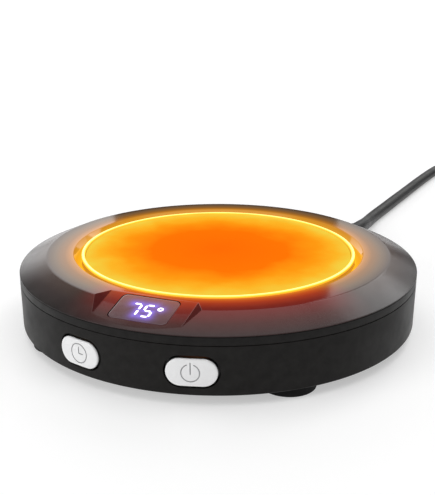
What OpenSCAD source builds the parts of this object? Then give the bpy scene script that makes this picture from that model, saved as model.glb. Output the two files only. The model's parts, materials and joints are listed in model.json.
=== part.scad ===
// Electric mug warmer: a low round housing with a heated plate, a light ring around the
// plate, a two-digit display in a sloping notch, two side buttons and a mains lead.
// The origin is on the table under the housing's centre. +Z is up, the display faces -Y
// and the lead leaves at +Y.

/* [Housing] */
// Outside diameter of the housing
body_d = 130; // [120:1:160]
// Thickness of the housing's side wall
wall_t = 2; // [1.6:0.1:2.5]
// Thickness of the base shell's floor
floor_t = 2; // [1.6:0.1:3]
// Height of the base shell's side wall
base_h = 14.3; // [14:0.1:20]
// How far the side wall leans in at its foot
base_draft = 0.4; // [0:0.1:0.8]
// Chamfer around the underside of the base shell
base_chamfer = 0.3; // [0.2:0.1:1.4]
// Open seam between the base shell and the top cover
seam_gap = 0.4; // [0.2:0.1:0.8]
// Height of the top cover's upright lip
lip_h = 2.6; // [2.2:0.1:4]
// Height of the top cover's bevel
bevel_h = 3.8; // [3.2:0.1:4.6]
// Width of the top cover's bevel, seen from above
bevel_w = 8.7; // [7.5:0.1:10]
// Width of the flat ring on top of the cover
ring_w = 8.6; // [7:0.1:11]
// Width of the chamfer that runs down from the flat ring to the plate
chamfer_w = 2.3; // [1.6:0.1:3]
// Depth of that chamfer
chamfer_h = 2.6; // [2:0.1:3]
// Thickness of the top cover
cover_t = 2.2; // [1.8:0.1:2.6]
// Depth of the collar that presses the light ring down
collar_h = 4.7; // [4.2:0.1:5.2]
// Thickness of that collar
collar_t = 2; // [1.5:0.1:2.4]

/* [Plate and light ring] */
// Thickness of the heating plate
plate_t = 2; // [1.2:0.1:2.4]
// How far the plate lies below the flat ring
plate_drop = 0.8; // [0.5:0.1:1.2]
// Gap between the plate and the light ring
plate_gap = 0.3; // [0.2:0.05:0.5]
// Width of the light ring's upright edge
light_w = 1.1; // [0.8:0.1:1.6]
// How far the light ring's edge lies below the flat ring
light_drop = 0.4; // [0.2:0.1:0.8]
// Gap between the light ring and the cover
light_gap = 0.2; // [0.1:0.05:0.4]
// Thickness of the light ring's flange
light_flange_t = 1; // [0.8:0.1:1.4]
// Thickness of the gasket under that flange
gasket_t = 1.5; // [1:0.1:2]
// Thickness of the plate's brim
brim_t = 1; // [0.8:0.1:1.4]
// Thickness of the heating element
element_t = 0.4; // [0.2:0.1:0.8]
// Thickness of the insulation pad
pad_t = 3; // [2:0.1:3.4]
// Thickness of the clamp disc
clamp_t = 0.8; // [0.6:0.1:1.2]

/* [Display] */
// Slope of the notch's floor, in degrees
ramp_a = 12.75; // [11:0.25:14]
// Distance from the housing's outside to the notch's inner end
notch_l = 15.8; // [15:0.1:16.5]
// Width of the notch's floor
notch_w = 26.8; // [25:0.1:30]
// Angle of the notch's side walls to its floor, in degrees
notch_side_a = 19.4; // [16:0.1:30]
// Width of the lens
lens_w = 17.5; // [16:0.1:21]
// Length of the lens down the slope
lens_l = 11.4; // [10.6:0.1:11.6]
// Thickness of the lens
lens_t = 1.2; // [0.8:0.1:1.5]
// Corner radius of the lens
lens_r = 1.6; // [1:0.1:2.5]
// Gap around the lens
lens_gap = 0.25; // [0.15:0.05:0.4]
// Height of the digit block
module_h = 3.2; // [2.6:0.1:3.6]

/* [Buttons] */
// Width of a button
button_w = 14.7; // [12:0.1:17.7]
// Height of a button
button_h = 8.2; // [7.5:0.1:8.8]
// Angle from the front to each button, in degrees
button_az = 15.1; // [14:0.1:20]
// Height of the buttons' centre line above the table
button_z = 9.9; // [9.8:0.1:11]
// Gap between a button and its opening
button_gap = 0.35; // [0.3:0.05:0.5]
// How far a button stands out of the wall
button_proud = 0.5; // [0.2:0.1:0.8]
// Travel of a button
button_travel = 0.6; // [0.3:0.1:0.6]
// Diameter of the sign in a button's face
icon_d = 6; // [4.5:0.1:6.5]

/* [Feet] */
// Height of the housing above the table
foot_h = 3; // [2.4:0.1:4]
// Diameter of a foot
foot_d = 16.4; // [10:0.1:17]
// Flat left between a foot and the chamfer around the underside
foot_margin = 0.7; // [0.5:0.1:3]
// Depth of a foot's seat in the base shell
foot_seat = 0.8; // [0.5:0.1:1]

/* [Circuit boards] */
// Length of the main board
board_l = 64; // [60:1:68]
// Width of the main board
board_w = 40; // [38:1:44]
// Thickness of the main board
board_t = 1.6; // [1:0.1:2]
// Height of the main board's standoffs
standoff_h = 2.5; // [2:0.1:3.5]
// Thickness of the small boards
small_board_t = 1; // [0.8:0.1:1.2]

/* [Lead] */
// Diameter of the mains lead
cord_d = 5.5; // [4.5:0.1:6.6]
// Height of the lead's outlet above the table
outlet_z = 9; // [8.8:0.1:10]
// Length of the strain relief outside the wall
relief_l = 25; // [20:1:40]

/* [Hidden] */

$fn = 96;
eps = 0.01;
pin_gap = 0.05;             // radial clearance of a screw in its hole
fit_gap = 0.1;              // clearance of a piece in its slot

// Heights and radii of the housing
body_r = body_d / 2;
inner_r = body_r - wall_t;
floor_z = foot_h + floor_t;
base_top = foot_h + base_h;
lip_z = base_top + seam_gap;
bevel_z = lip_z + lip_h;
top_z = bevel_z + bevel_h;
ring_r = body_r - bevel_w;
recess_r = ring_r - ring_w;
throat_r = recess_r - chamfer_w;
tongue_gap = 0.15;
tongue_t = 1.2;
tongue_l = 2;
tongue_ro = inner_r - tongue_gap;
tongue_ri = tongue_ro - tongue_t;
tongue_z = base_top - tongue_l;
groove_r = 31;
groove_w = 1.2;
groove_depth = 0.3;

// Heating plate, light ring and what is stacked under them
light_ro = throat_r - light_gap;
light_ri = light_ro - light_w;
light_flange_w = 1.6;       // how far the light ring's flange reaches past the collar
flange_r = throat_r + collar_t + light_flange_w;
flange_top = top_z - collar_h;
flange_bottom = flange_top - light_flange_t;
plate_r = light_ri - plate_gap;
plate_bottom = top_z - plate_drop - plate_t;
skirt_t = 2;
brim_top = flange_bottom - gasket_t;
brim_bottom = brim_top - brim_t;
brim_r = flange_r - 0.4;
glow_board_w = 5.6;
glow_ri = flange_r + 0.6;
glow_ro = glow_ri + glow_board_w;
led_w = 1.8;
led_l = 2.4;
led_az = [0, 20, 70, 90, 110, 160, 180, 200, 340];
plate_boss_r = 2.6;
plate_lug_r = 3.2;
plate_pitch = glow_ro - plate_boss_r;
plate_screw_r = 1;
clamp_r = plate_r - skirt_t - 1;
clamp_top = plate_bottom - element_t - pad_t;
clamp_bottom = clamp_top - clamp_t;
clamp_pitch = clamp_r - 2.8;
clamp_boss_r = 2.4;
clamp_screw_r = 0.9;
element_r = clamp_pitch - clamp_boss_r - 1.6;
sensor_r = 2.2;
sensor_hole_r = sensor_r + 0.8;
sensor_h = 1.5;             // how far the thermistor stands out under the clamp disc
fuse_r = 2;
fuse_l = 11;
fuse_y = -12;
strap_w = 5;
strap_t = 0.5;
wire_r = 0.8;
thin_wire_r = 0.5;
heater_wire_x = 24;
heater_wire_y = 5;

// Display notch: its own frame starts at the notch's inner end, with -Y down the slope
tray_t = 2.4;
tray_rim = 1.4;
lens_start = 0.95;
lens_mid = lens_start + lens_l / 2;
lens_seat_w = 1.55;         // ledge that the lens lies on at its sides
lens_seat_l = 1.4;          // ledge at its two other edges
window_w = lens_w - 2 * lens_seat_w;
window_l = lens_l - 2 * lens_seat_l;
module_top = -lens_t - 0.05;
module_bottom = module_top - module_h;
display_board_bottom = module_bottom - small_board_t;
display_board_w = window_w + 8.6;
display_boss_x = window_w / 2 + 2.4;
display_boss_r = 1.6;
display_screw_r = 0.65;

// Buttons: distances are measured outwards from the housing's axis
cap_flange_t = 1.8;
cap_flange_w = button_w + 2;
cap_flange_h = button_h + 0.6;
cap_gap = 0.34;             // clearance between the flange's ends and the wall
cap_back = sqrt(pow(inner_r, 2) - pow(cap_flange_w / 2, 2)) - cap_gap;
stem_l = 2.1;
stem_end = cap_back - cap_flange_t - stem_l;
stem_r = 2;
plunger_r = 1.65;
plunger_l = 2.3;
switch_front = stem_end - button_travel - 0.4;
switch_l = 3.6;
switch_w = 6;
switch_back = switch_front - switch_l;
switch_board_t = 1.2;
switch_board_w = 15;
switch_board_h = 10.2;
switch_board_top = floor_z + switch_board_h;
switch_post_w = 2.6;
switch_post_l = 4;
icon_line = 0.55;
icon_depth = 0.25;

// Screws that hold the housing together, feet and underside
screw_az = [25, 155, 205, 335];
plate_screw_az = [45, 135, 225, 315];
foot_az = [48, 132, 228, 312];
housing_pitch = inner_r - 4.4;
housing_boss_r = 2.8;
housing_screw_r = 1.35;
housing_head_r = 2.6;
housing_head_h = 1.4;
housing_head_z = foot_h + 0.3;
base_boss_top = floor_z + 4;
foot_pitch = body_r - base_draft - base_chamfer - foot_margin - foot_d / 2;

// Main board; its pieces have a centre and a width, length and height
board_z = floor_z + standoff_h;
board_top = board_z + board_t;
board_hole_x = board_l / 2 - 4;
board_hole_y = board_w / 2 - 4;
board_screw_r = 0.9;
standoff_r = 2.5;
film_capacitor_at = [-19, 4];
film_capacitor_size = [13, 11, 5.8];
smoothing_capacitor_at = [-4, 11];
smoothing_capacitor_r = 3.15;
smoothing_capacitor_h = 5.5;
triac_at = [10, 8];
triac_size = [10, 9, 4.4];
triac_tab_at = [10, 14.4];
triac_tab_size = [10, 4, 1.2];
main_fuse_at = [-19, 15];
main_fuse_r = 1.5;
main_fuse_l = 8;
rectifier_at = [-5, 1];
rectifier_size = [8.4, 6.4, 2.6];
chip_at = [2, -9];
chip_size = [10, 5, 1.6];
buzzer_at = [-14, -9];
buzzer_r = 4.5;
buzzer_h = 3.2;
socket_size = [6, 4, 3];
socket_y = 3.5 - board_w / 2;
display_socket_at = [0, socket_y];
switch_socket_at = [[12, socket_y], [-11, socket_y]];
sensor_socket_at = [20, -6];
mains_pad_x = [5.5, 15.1];
mains_pad_y = board_w / 2 - 1.1;

// Lead: the outlet's angle is measured from the back towards +X
outlet_az = 18;
relief_r = 4.75;
relief_tip_r = cord_d / 2 + 0.7;
relief_neck_r = 3.6;
relief_start = body_r + 0.1;
relief_end = body_r + relief_l;
relief_flange_w = 13;
relief_flange_t = 1.9;
inner_cord_end = body_r - 15;
saddle_at = body_r - 9.5;
saddle_x = 6.2;
saddle_l = 5;
saddle_h = 1.4;             // height of the saddle above the lead
saddle_post_r = 2.4;
saddle_post_top = 0.5;
saddle_screw_r = 0.95;
cord_r = cord_d / 2;
table_z = cord_r;           // height of the lead's axis where it lies on the table
lead_route = [
    [26.3, 80.9, 9], [27.8, 85.6, 9], [28.9, 92, 8.7], [29, 98, 7.9], [28.7, 105, 6.6],
    [28.1, 112, 5.2], [27.6, 119, 4], [27.4, 126, 3.2], [27.7, 133, table_z + 0.1],
    [28.4, 140, table_z], [29.4, 148, table_z], [30.8, 160, table_z], [32.2, 172, table_z],
    [33.7, 184, table_z], [35.1, 196, table_z],
    [36.5, 208, table_z], [38, 220, table_z], [39.6, 232, table_z],
    [41.4, 244, table_z], [44, 256, table_z], [49, 268, table_z], [56, 280, table_z],
    [66, 291, table_z], [78, 299, table_z], [90, 303, table_z]
];
coil_centre = [95, 265];
coil_mid_r = 30.75;
coil_turns = 3;
coil_layers = 2;
coil_edge_r = 2;
tail_route = [
    [130, 268, 8.25], [130, 258, 8.2], [130, 248, 7.9], [130, 238, 7.4],
    [130, 228, 7], [130, 214, 7]
];
plug_x = 130;
plug_front_y = 194;
plug_l = 24;
plug_w = 22;
plug_h = 14;
plug_r = 3.5;
plug_front_l = 14.4;        // length of the plug's wide front part
plug_neck_w = 14;
plug_neck_h = 12;
plug_sleeve_l = 14;
plug_sleeve_r = 5;
blade_l = 16;
blade_w = 6.3;
blade_t = 1.5;
blade_x = 6.35;
blade_hole_r = 1.5;

// ---- shapes used by several pieces ----

// Copies of the children at each angle in the list, at one distance from the axis
module around(angles, distance) {
    for (a = angles) rotate([0, 0, a]) translate([distance, 0, 0]) children();
}

// Upright tube from z0 to z1
module ring(ro, ri, z0, z1) {
    translate([0, 0, z0]) difference() {
        cylinder(r = ro, h = z1 - z0);
        translate([0, 0, -1]) cylinder(r = ri, h = z1 - z0 + 2);
    }
}

// Upright cylinder from z0 to z1
module post(r, z0, z1) {
    translate([0, 0, z0]) cylinder(r = r, h = z1 - z0, $fn = 48);
}

// Box centred on x and y, from z0 to z1
module slab(w, l, z0, z1) {
    translate([-w / 2, -l / 2, z0]) cube([w, l, z1 - z0]);
}

// Rectangle with round corners
module round_rect(w, l, r) {
    square([w - 2 * r, l], center = true);
    square([w, l - 2 * r], center = true);
    for (x = [-1, 1], y = [-1, 1])
        translate([x * (w / 2 - r), y * (l / 2 - r)]) circle(r = r);
}

// Pill outline
module pill(w, h) {
    square([w - h, h], center = true);
    for (x = [-1, 1]) translate([x * (w - h) / 2, 0]) circle(r = h / 2);
}

// Pan-head screw that points up, with its head's top face at z = 0 going down
module screw(shank_r, shank_l, head_r, head_h) {
    difference() {
        union() {
            translate([0, 0, -head_h]) cylinder(r = head_r, h = head_h, $fn = 48);
            cylinder(r = shank_r, h = shank_l, $fn = 32);
        }
        for (a = [0, 90]) rotate([0, 0, a])
            translate([-head_r * 0.6, -head_r * 0.12, -head_h - 1])
                cube([head_r * 1.2, head_r * 0.24, 1 + head_h / 2]);
    }
}

// Frame of the notch's floor: z is its normal and -y runs down the slope
module at_ramp() {
    translate([0, notch_l - body_r, top_z]) rotate([ramp_a, 0, 0]) children();
}

// Frame of a button: -y points outwards through the wall. side 1 is +X, -1 is -X
module at_button(side) {
    rotate([0, 0, side * button_az]) translate([0, 0, button_z]) children();
}

// The children's flat outline, drawn as seen from outside and run from u0 out to u1
module outwards(u0, u1) {
    translate([0, -u0, 0]) rotate([90, 0, 0]) linear_extrude(height = u1 - u0) children();
}

// Frame of the lead's outlet: +y points outwards through the wall
module at_outlet() {
    rotate([0, 0, -outlet_az]) translate([0, 0, outlet_z]) children();
}

// Cylinder along the outlet from u0 out to u1
module outlet_rod(r1, r2, u0, u1) {
    translate([0, u0, 0]) rotate([-90, 0, 0]) cylinder(r1 = r1, r2 = r2, h = u1 - u0);
}

function unit(v) = v / norm(v);

// Direction of a route at point i
function heading(pts, i) =
    unit(pts[min(i + 1, len(pts) - 1)] - pts[max(i - 1, 0)]);

// Points of the ring around point i of a route that is never upright
function ring_points(pts, i, r, sides) =
    let (d = heading(pts, i), s = unit(cross(d, [0, 0, 1])), n = cross(s, d))
    [for (k = [0:sides - 1]) let (a = 360 * k / sides) pts[i] + r * (cos(a) * s + sin(a) * n)];

// Round tube along a route
module tube(pts, r, sides) {
    n = len(pts);
    points = [for (i = [0:n - 1]) each ring_points(pts, i, r, sides)];
    walls = [
        for (i = [0:n - 2], k = [0:sides - 1])
            let (a = i * sides + k, b = i * sides + (k + 1) % sides)
            each [[a, b, b + sides], [a, b + sides, a + sides]]
    ];
    ends = [
        [for (k = [sides - 1:-1:0]) k],
        [for (k = [0:sides - 1]) (n - 1) * sides + k]
    ];
    polyhedron(points = points, faces = concat(walls, ends), convexity = 10);
}

// ---- housing ----

// Outline of the cover's outside, filled down to the lip's lower edge
module cover_outline() {
    polygon([
        [0, lip_z], [body_r, lip_z], [body_r, bevel_z], [ring_r, top_z], [0, top_z]
    ]);
}

module cover_shell() {
    under = top_z - cover_t;
    rotate_extrude() polygon([
        [tongue_ri, tongue_z], [tongue_ro, tongue_z], [tongue_ro, lip_z],
        [body_r, lip_z], [body_r, bevel_z], [ring_r, top_z], [recess_r, top_z],
        [throat_r, top_z - chamfer_h], [throat_r, flange_top],
        [throat_r + collar_t, flange_top], [throat_r + collar_t, under],
        [ring_r - 0.6, under], [tongue_ri, bevel_z - 0.4]
    ]);
}

// Floor under the notch, kept inside the cover's outside
module notch_tray() {
    intersection() {
        at_ramp() translate([-notch_w / 2 - tray_rim, -notch_l, -tray_t])
            cube([notch_w + 2 * tray_rim, notch_l + 1, tray_t]);
        rotate_extrude() cover_outline();
        cylinder(r = body_r - 0.8, h = top_z);
    }
}

// Space above the notch's floor and its two sloping side walls
module notch_space() {
    rise = 10;
    top_w = notch_w / 2 + rise / tan(notch_side_a);
    at_ramp() translate([0, 2, 0]) rotate([90, 0, 0]) linear_extrude(height = notch_l + 10)
        polygon([[-notch_w / 2, 0], [notch_w / 2, 0], [top_w, rise], [-top_w, rise]]);
}

module top_cover() {
    cover_under = top_z - cover_t + 0.5;
    color([0.14, 0.13, 0.13]) difference() {
        union() {
            cover_shell();
            notch_tray();
            around(plate_screw_az, plate_pitch)
                post(plate_boss_r, brim_top + small_board_t, cover_under);
            around(screw_az, housing_pitch) post(housing_boss_r, base_boss_top, bevel_z + 1.4);
            at_ramp() for (x = [-1, 1]) translate([x * display_boss_x, -lens_mid, 0])
                post(display_boss_r, module_bottom, -tray_t + 0.2);
        }
        notch_space();
        at_ramp() translate([0, -lens_mid, 0]) {
            translate([0, 0, -lens_t]) linear_extrude(height = lens_t + 1)
                round_rect(lens_w + 2 * lens_gap, lens_l + 2 * lens_gap, lens_r + lens_gap);
            slab(window_w, window_l, module_bottom, 1);
            for (x = [-1, 1]) translate([x * display_boss_x, 0, 0])
                post(display_screw_r + pin_gap, module_bottom - 1, -tray_t + 0.6);
        }
        around(plate_screw_az, plate_pitch)
            post(plate_screw_r + pin_gap, brim_top, top_z - cover_t - 0.6);
        around(screw_az, housing_pitch)
            post(housing_screw_r + pin_gap, base_boss_top - 1, bevel_z - 1.5);
    }
}

module base_shell() {
    foot_r = body_r - base_draft;
    neck_hole_r = relief_neck_r + fit_gap;
    color([0.13, 0.13, 0.125]) difference() {
        union() {
            rotate_extrude() polygon([
                [0, foot_h], [foot_r - base_chamfer, foot_h],
                [foot_r, foot_h + base_chamfer], [body_r, base_top], [inner_r, base_top],
                [inner_r, floor_z], [0, floor_z]
            ]);
            around(screw_az, housing_pitch) post(housing_boss_r + 0.6, floor_z - eps, base_boss_top);
            for (x = [-1, 1], y = [-1, 1])
                translate([x * board_hole_x, y * board_hole_y, 0])
                    post(standoff_r, floor_z - eps, board_z);
            for (side = [-1, 1]) at_button(side) switch_posts();
            at_outlet() saddle_posts();
        }
        for (side = [-1, 1]) at_button(side) outwards(inner_r - 3, body_r + 3)
            pill(button_w + 2 * button_gap, button_h + 2 * button_gap);
        at_outlet() outlet_rod(neck_hole_r, neck_hole_r, inner_r - 3, body_r + 3);
        around(screw_az, housing_pitch) {
            post(housing_screw_r + 0.2, foot_h - 1, base_boss_top + 1);
            post(housing_head_r + 0.3, foot_h - 1, housing_head_z + housing_head_h);
        }
        around(foot_az, foot_pitch) post(foot_d / 2 + fit_gap, foot_h - 1, foot_h + foot_seat);
        for (x = [-1, 1], y = [-1, 1]) translate([x * board_hole_x, y * board_hole_y, 0])
            post(board_screw_r + pin_gap, floor_z + 0.4, board_z + 1);
        at_outlet() for (x = [-1, 1]) translate([x * saddle_x, saddle_at, 0])
            post(saddle_screw_r + pin_gap, floor_z - outlet_z + 0.8, 2);
        ring(groove_r, groove_r - groove_w, foot_h - 1, foot_h + groove_depth);
    }
}

// Two slotted posts that hold a switch board
module switch_posts() {
    difference() {
        for (x = [-1, 1]) translate([x * switch_board_w / 2, -switch_back + 0.6, 0])
            slab(switch_post_w, switch_post_l, floor_z - button_z - eps, 2);
        translate([0, -switch_back + switch_board_t / 2, 0])
            slab(switch_board_w + 2 * fit_gap, switch_board_t + 2 * fit_gap,
                floor_z - button_z, 12);
    }
}

// The lead's own shape, cut out of what holds it
module saddle_groove() {
    rotate([90, 0, 0]) cylinder(r = cord_r + pin_gap, h = saddle_l + 3, center = true);
}

// Cradle under the lead's inner end and the two posts that the saddle sits on
module saddle_posts() {
    low = floor_z - outlet_z - eps;
    translate([0, saddle_at, 0]) {
        difference() {
            slab(6, saddle_l, low, -cord_r + 0.8);
            saddle_groove();
        }
        for (x = [-1, 1]) translate([x * saddle_x, 0, 0])
            post(saddle_post_r, low, saddle_post_top);
    }
}

module housing_screws() {
    color([0.3, 0.3, 0.32]) around(screw_az, housing_pitch)
        translate([0, 0, housing_head_z + housing_head_h])
            screw(housing_screw_r, bevel_z - housing_head_z - housing_head_h - 3,
                housing_head_r, housing_head_h);
}

module rubber_feet() {
    color([0.06, 0.06, 0.06]) around(foot_az, foot_pitch) {
        translate([0, 0, 0.5]) cylinder(r = foot_d / 2, h = foot_h + foot_seat - 0.5);
        cylinder(r1 = foot_d / 2 - 0.5, r2 = foot_d / 2, h = 0.5);
    }
}

// ---- heating plate and light ring ----

module heating_plate() {
    plate_top = plate_bottom + plate_t;
    color([1, 0.62, 0.2]) difference() {
        union() {
            rotate_extrude() polygon([
                [0, plate_bottom], [plate_r - skirt_t, plate_bottom],
                [plate_r - skirt_t, brim_bottom], [brim_r, brim_bottom], [brim_r, brim_top],
                [plate_r, brim_top], [plate_r, plate_top - 0.3], [plate_r - 0.3, plate_top],
                [0, plate_top]
            ]);
            around(plate_screw_az, plate_pitch) post(plate_lug_r, brim_bottom, brim_top);
            around(plate_screw_az, (brim_r + plate_pitch) / 2)
                slab(plate_pitch - brim_r + 2, 2 * plate_lug_r, brim_bottom, brim_top);
            around(screw_az, clamp_pitch) post(clamp_boss_r, clamp_top, plate_bottom + 0.2);
        }
        around(plate_screw_az, plate_pitch) post(plate_screw_r + 0.2, brim_bottom - 1, brim_top + 1);
        around(screw_az, clamp_pitch)
            post(clamp_screw_r + pin_gap, clamp_top - 1, plate_bottom - 0.2);
    }
}

module light_ring() {
    light_top = top_z - light_drop;
    color([1, 0.85, 0.35]) rotate_extrude() polygon([
        [light_ri, flange_bottom], [flange_r, flange_bottom], [flange_r, flange_top],
        [light_ro, flange_top], [light_ro, light_top - 0.25], [light_ro - 0.25, light_top],
        [light_ri + 0.25, light_top], [light_ri, light_top - 0.25]
    ]);
}

module plate_gasket() {
    color([0.75, 0.3, 0.2]) ring(brim_r - 0.2, plate_r + 0.4, brim_top, flange_bottom);
}

module glow_board() {
    color([0.1, 0.35, 0.2]) difference() {
        ring(glow_ro, glow_ri, brim_top, brim_top + small_board_t);
        translate([0, -body_r, 0]) slab(34, body_r + 10, 0, top_z);
        around(plate_screw_az, plate_pitch) post(plate_screw_r + 0.2, brim_top - 1, brim_top + 5);
    }
}

module glow_leds() {
    led_z = brim_top + small_board_t;
    color([1, 0.9, 0.6])
        around(led_az, glow_ri + led_w / 2) slab(led_w, led_l, led_z, flange_top);
}

module plate_screws() {
    color([0.7, 0.7, 0.72]) around(plate_screw_az, plate_pitch) translate([0, 0, brim_bottom])
        screw(plate_screw_r, brim_t + small_board_t + 3, 2, 1.3);
}

module heater_element() {
    color([0.75, 0.5, 0.15])
        ring(element_r, sensor_hole_r, plate_bottom - element_t, plate_bottom);
}

module insulation_pad() {
    color([0.9, 0.88, 0.82]) difference() {
        ring(element_r, sensor_hole_r, clamp_top, clamp_top + pad_t);
        heater_wire_holes(clamp_top - 1, clamp_top + pad_t + 1);
    }
}

module heater_wire_holes(z0, z1) {
    for (y = [-1, 1]) translate([heater_wire_x, y * heater_wire_y, 0])
        post(wire_r + 0.4, z0, z1);
}

module heater_clamp() {
    color([0.72, 0.73, 0.75]) difference() {
        ring(clamp_r, sensor_r + 0.3, clamp_bottom, clamp_top);
        heater_wire_holes(clamp_bottom - 1, clamp_top + 1);
        around(screw_az, clamp_pitch) post(clamp_screw_r + 0.2, clamp_bottom - 1, clamp_top + 1);
    }
}

module clamp_screws() {
    color([0.7, 0.7, 0.72]) around(screw_az, clamp_pitch) translate([0, 0, clamp_bottom])
        screw(clamp_screw_r, clamp_t + 2.4, 1.8, 1.2);
}

module thermistor() {
    color([0.15, 0.15, 0.16]) union() {
        post(sensor_r, clamp_bottom - sensor_h, plate_bottom);
        post(sensor_r + 1, clamp_bottom - 1, clamp_bottom);
    }
}

module thermal_fuse() {
    color([0.82, 0.82, 0.84]) translate([0, fuse_y, clamp_bottom - fuse_r]) rotate([0, 90, 0]) {
        cylinder(r = fuse_r, h = fuse_l, center = true, $fn = 48);
        cylinder(r = 0.5, h = fuse_l + 7, center = true, $fn = 24);
    }
}

module fuse_strap() {
    low = clamp_bottom - 2 * fuse_r - fit_gap - strap_t;
    color([0.6, 0.61, 0.63]) translate([0, fuse_y, 0]) difference() {
        union() {
            slab(strap_w, 2 * (fuse_r + fit_gap + strap_t), low, clamp_bottom);
            slab(strap_w, 2 * fuse_r + 6, clamp_bottom - strap_t, clamp_bottom);
        }
        slab(strap_w + 2, 2 * (fuse_r + fit_gap), low + strap_t, clamp_bottom + 1);
    }
}

// ---- display ----

module display_lens() {
    color([0.25, 0.22, 0.25]) at_ramp() translate([0, -lens_mid, -lens_t])
        linear_extrude(height = lens_t) round_rect(lens_w, lens_l, lens_r);
}

module display_module() {
    color([0.9, 0.92, 1]) at_ramp() translate([0, -lens_mid, 0])
        slab(window_w - 0.6, window_l - 0.4, module_bottom, module_top);
}

module display_board() {
    color([0.1, 0.35, 0.2]) at_ramp() translate([0, -lens_mid, 0]) difference() {
        slab(display_board_w, lens_l - 0.4, display_board_bottom, module_bottom);
        for (x = [-1, 1]) translate([x * display_boss_x, 0, 0])
            post(display_screw_r + 0.2, display_board_bottom - 1, module_bottom + 1);
    }
}

module display_screws() {
    color([0.7, 0.7, 0.72]) at_ramp() for (x = [-1, 1])
        translate([x * display_boss_x, -lens_mid, display_board_bottom])
            screw(display_screw_r, small_board_t + 1.4, 1.4, 0.9);
}

// ---- buttons ----

// Cap with its flange and stem; the children are cut into its face
module button_cap() {
    face_r = body_r + button_proud;
    difference() {
        union() {
            intersection() {
                outwards(cap_back - eps, body_r + 3) pill(button_w, button_h);
                translate([0, 0, -button_h]) cylinder(r = face_r, h = 2 * button_h, $fn = 180);
            }
            outwards(cap_back - cap_flange_t, cap_back)
                square([cap_flange_w, cap_flange_h], center = true);
            outwards(stem_end, cap_back - cap_flange_t + eps) circle(r = stem_r);
        }
        outwards(face_r - icon_depth, body_r + 3) children();
    }
}

module icon_ring() {
    difference() {
        circle(r = icon_d / 2);
        circle(r = icon_d / 2 - icon_line);
    }
}

module power_icon() {
    difference() {
        icon_ring();
        translate([-icon_line * 1.4, 0]) square([icon_line * 2.8, icon_d]);
    }
    translate([-icon_line / 2, icon_d * 0.1]) square([icon_line, icon_d * 0.42]);
}

module clock_icon() {
    icon_ring();
    translate([-icon_line / 2, -icon_line / 2]) square([icon_line, icon_d * 0.33]);
    translate([-icon_line / 2, -icon_line / 2]) square([icon_d * 0.27, icon_line]);
}

module plunger() {
    outwards(stem_end - plunger_l, stem_end) circle(r = plunger_r);
}

module switch_body() {
    difference() {
        outwards(switch_back, switch_front) square(switch_w, center = true);
        outwards(stem_end - plunger_l - button_travel - 0.2, switch_front + 1)
            circle(r = plunger_r + fit_gap);
    }
}

module power_button() {
    color([0.93, 0.93, 0.94]) at_button(1) button_cap() power_icon();
}

module timer_button() {
    color([0.93, 0.93, 0.94]) at_button(-1) button_cap() clock_icon();
}

module power_plunger() {
    color([0.1, 0.1, 0.1]) at_button(1) plunger();
}

module timer_plunger() {
    color([0.1, 0.1, 0.1]) at_button(-1) plunger();
}

module power_switch() {
    color([0.2, 0.2, 0.22]) at_button(1) switch_body();
}

module timer_switch() {
    color([0.2, 0.2, 0.22]) at_button(-1) switch_body();
}

module switch_boards() {
    color([0.1, 0.35, 0.2]) for (side = [-1, 1]) at_button(side)
        translate([0, -switch_back + switch_board_t / 2, 0])
            slab(switch_board_w, switch_board_t, floor_z - button_z, switch_board_top - button_z);
}

// ---- main board ----

module main_board() {
    color([0.1, 0.35, 0.2]) difference() {
        slab(board_l, board_w, board_z, board_top);
        for (x = [-1, 1], y = [-1, 1]) translate([x * board_hole_x, y * board_hole_y, 0])
            post(board_screw_r + 0.3, board_z - 1, board_top + 1);
    }
}

module board_screws() {
    color([0.7, 0.7, 0.72]) for (x = [-1, 1], y = [-1, 1])
        translate([x * board_hole_x, y * board_hole_y, board_top]) rotate([180, 0, 0])
            screw(board_screw_r, board_t + 1.8, 1.9, 1.3);
}

// Plain block on the main board
module on_board(at, size) {
    translate([at[0], at[1], 0]) slab(size[0], size[1], board_top, board_top + size[2]);
}

module film_capacitor() {
    color([0.85, 0.7, 0.1]) on_board(film_capacitor_at, film_capacitor_size);
}

module smoothing_capacitor() {
    color([0.1, 0.12, 0.2]) translate(smoothing_capacitor_at)
        post(smoothing_capacitor_r, board_top, board_top + smoothing_capacitor_h);
}

module triac() {
    color([0.08, 0.08, 0.08]) on_board(triac_at, triac_size);
    color([0.75, 0.76, 0.78]) on_board(triac_tab_at, triac_tab_size);
}

module main_fuse() {
    color([0.85, 0.83, 0.75]) translate([0, 0, board_top + main_fuse_r])
        translate(main_fuse_at) rotate([0, 90, 0])
            cylinder(r = main_fuse_r, h = main_fuse_l, center = true, $fn = 48);
}

module rectifier() {
    color([0.08, 0.08, 0.08]) on_board(rectifier_at, rectifier_size);
}

module controller_chip() {
    color([0.07, 0.07, 0.08]) on_board(chip_at, chip_size);
}

module buzzer() {
    color([0.09, 0.09, 0.1]) translate(buzzer_at) difference() {
        post(buzzer_r, board_top, board_top + buzzer_h);
        post(0.8, board_top + buzzer_h - 1.2, board_top + buzzer_h + 1);
    }
}

module board_sockets() {
    color([0.9, 0.9, 0.86]) for (at = concat([display_socket_at, sensor_socket_at], switch_socket_at))
        on_board(at, socket_size);
}

// ---- wires inside the housing ----

module heater_wires() {
    color([0.85, 0.85, 0.8]) for (y = [-1, 1]) tube([
        [heater_wire_x + 3, y * (heater_wire_y + 2), board_top],
        [heater_wire_x + 2.4, y * (heater_wire_y + 1.6), board_top + 2],
        [heater_wire_x + 0.8, y * (heater_wire_y + 0.4), clamp_bottom - 2.5],
        [heater_wire_x + 0.1, y * (heater_wire_y + 0.05), clamp_bottom - 0.5],
        [heater_wire_x, y * heater_wire_y, clamp_top + pad_t - 0.05]
    ], wire_r, 8);
}

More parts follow.
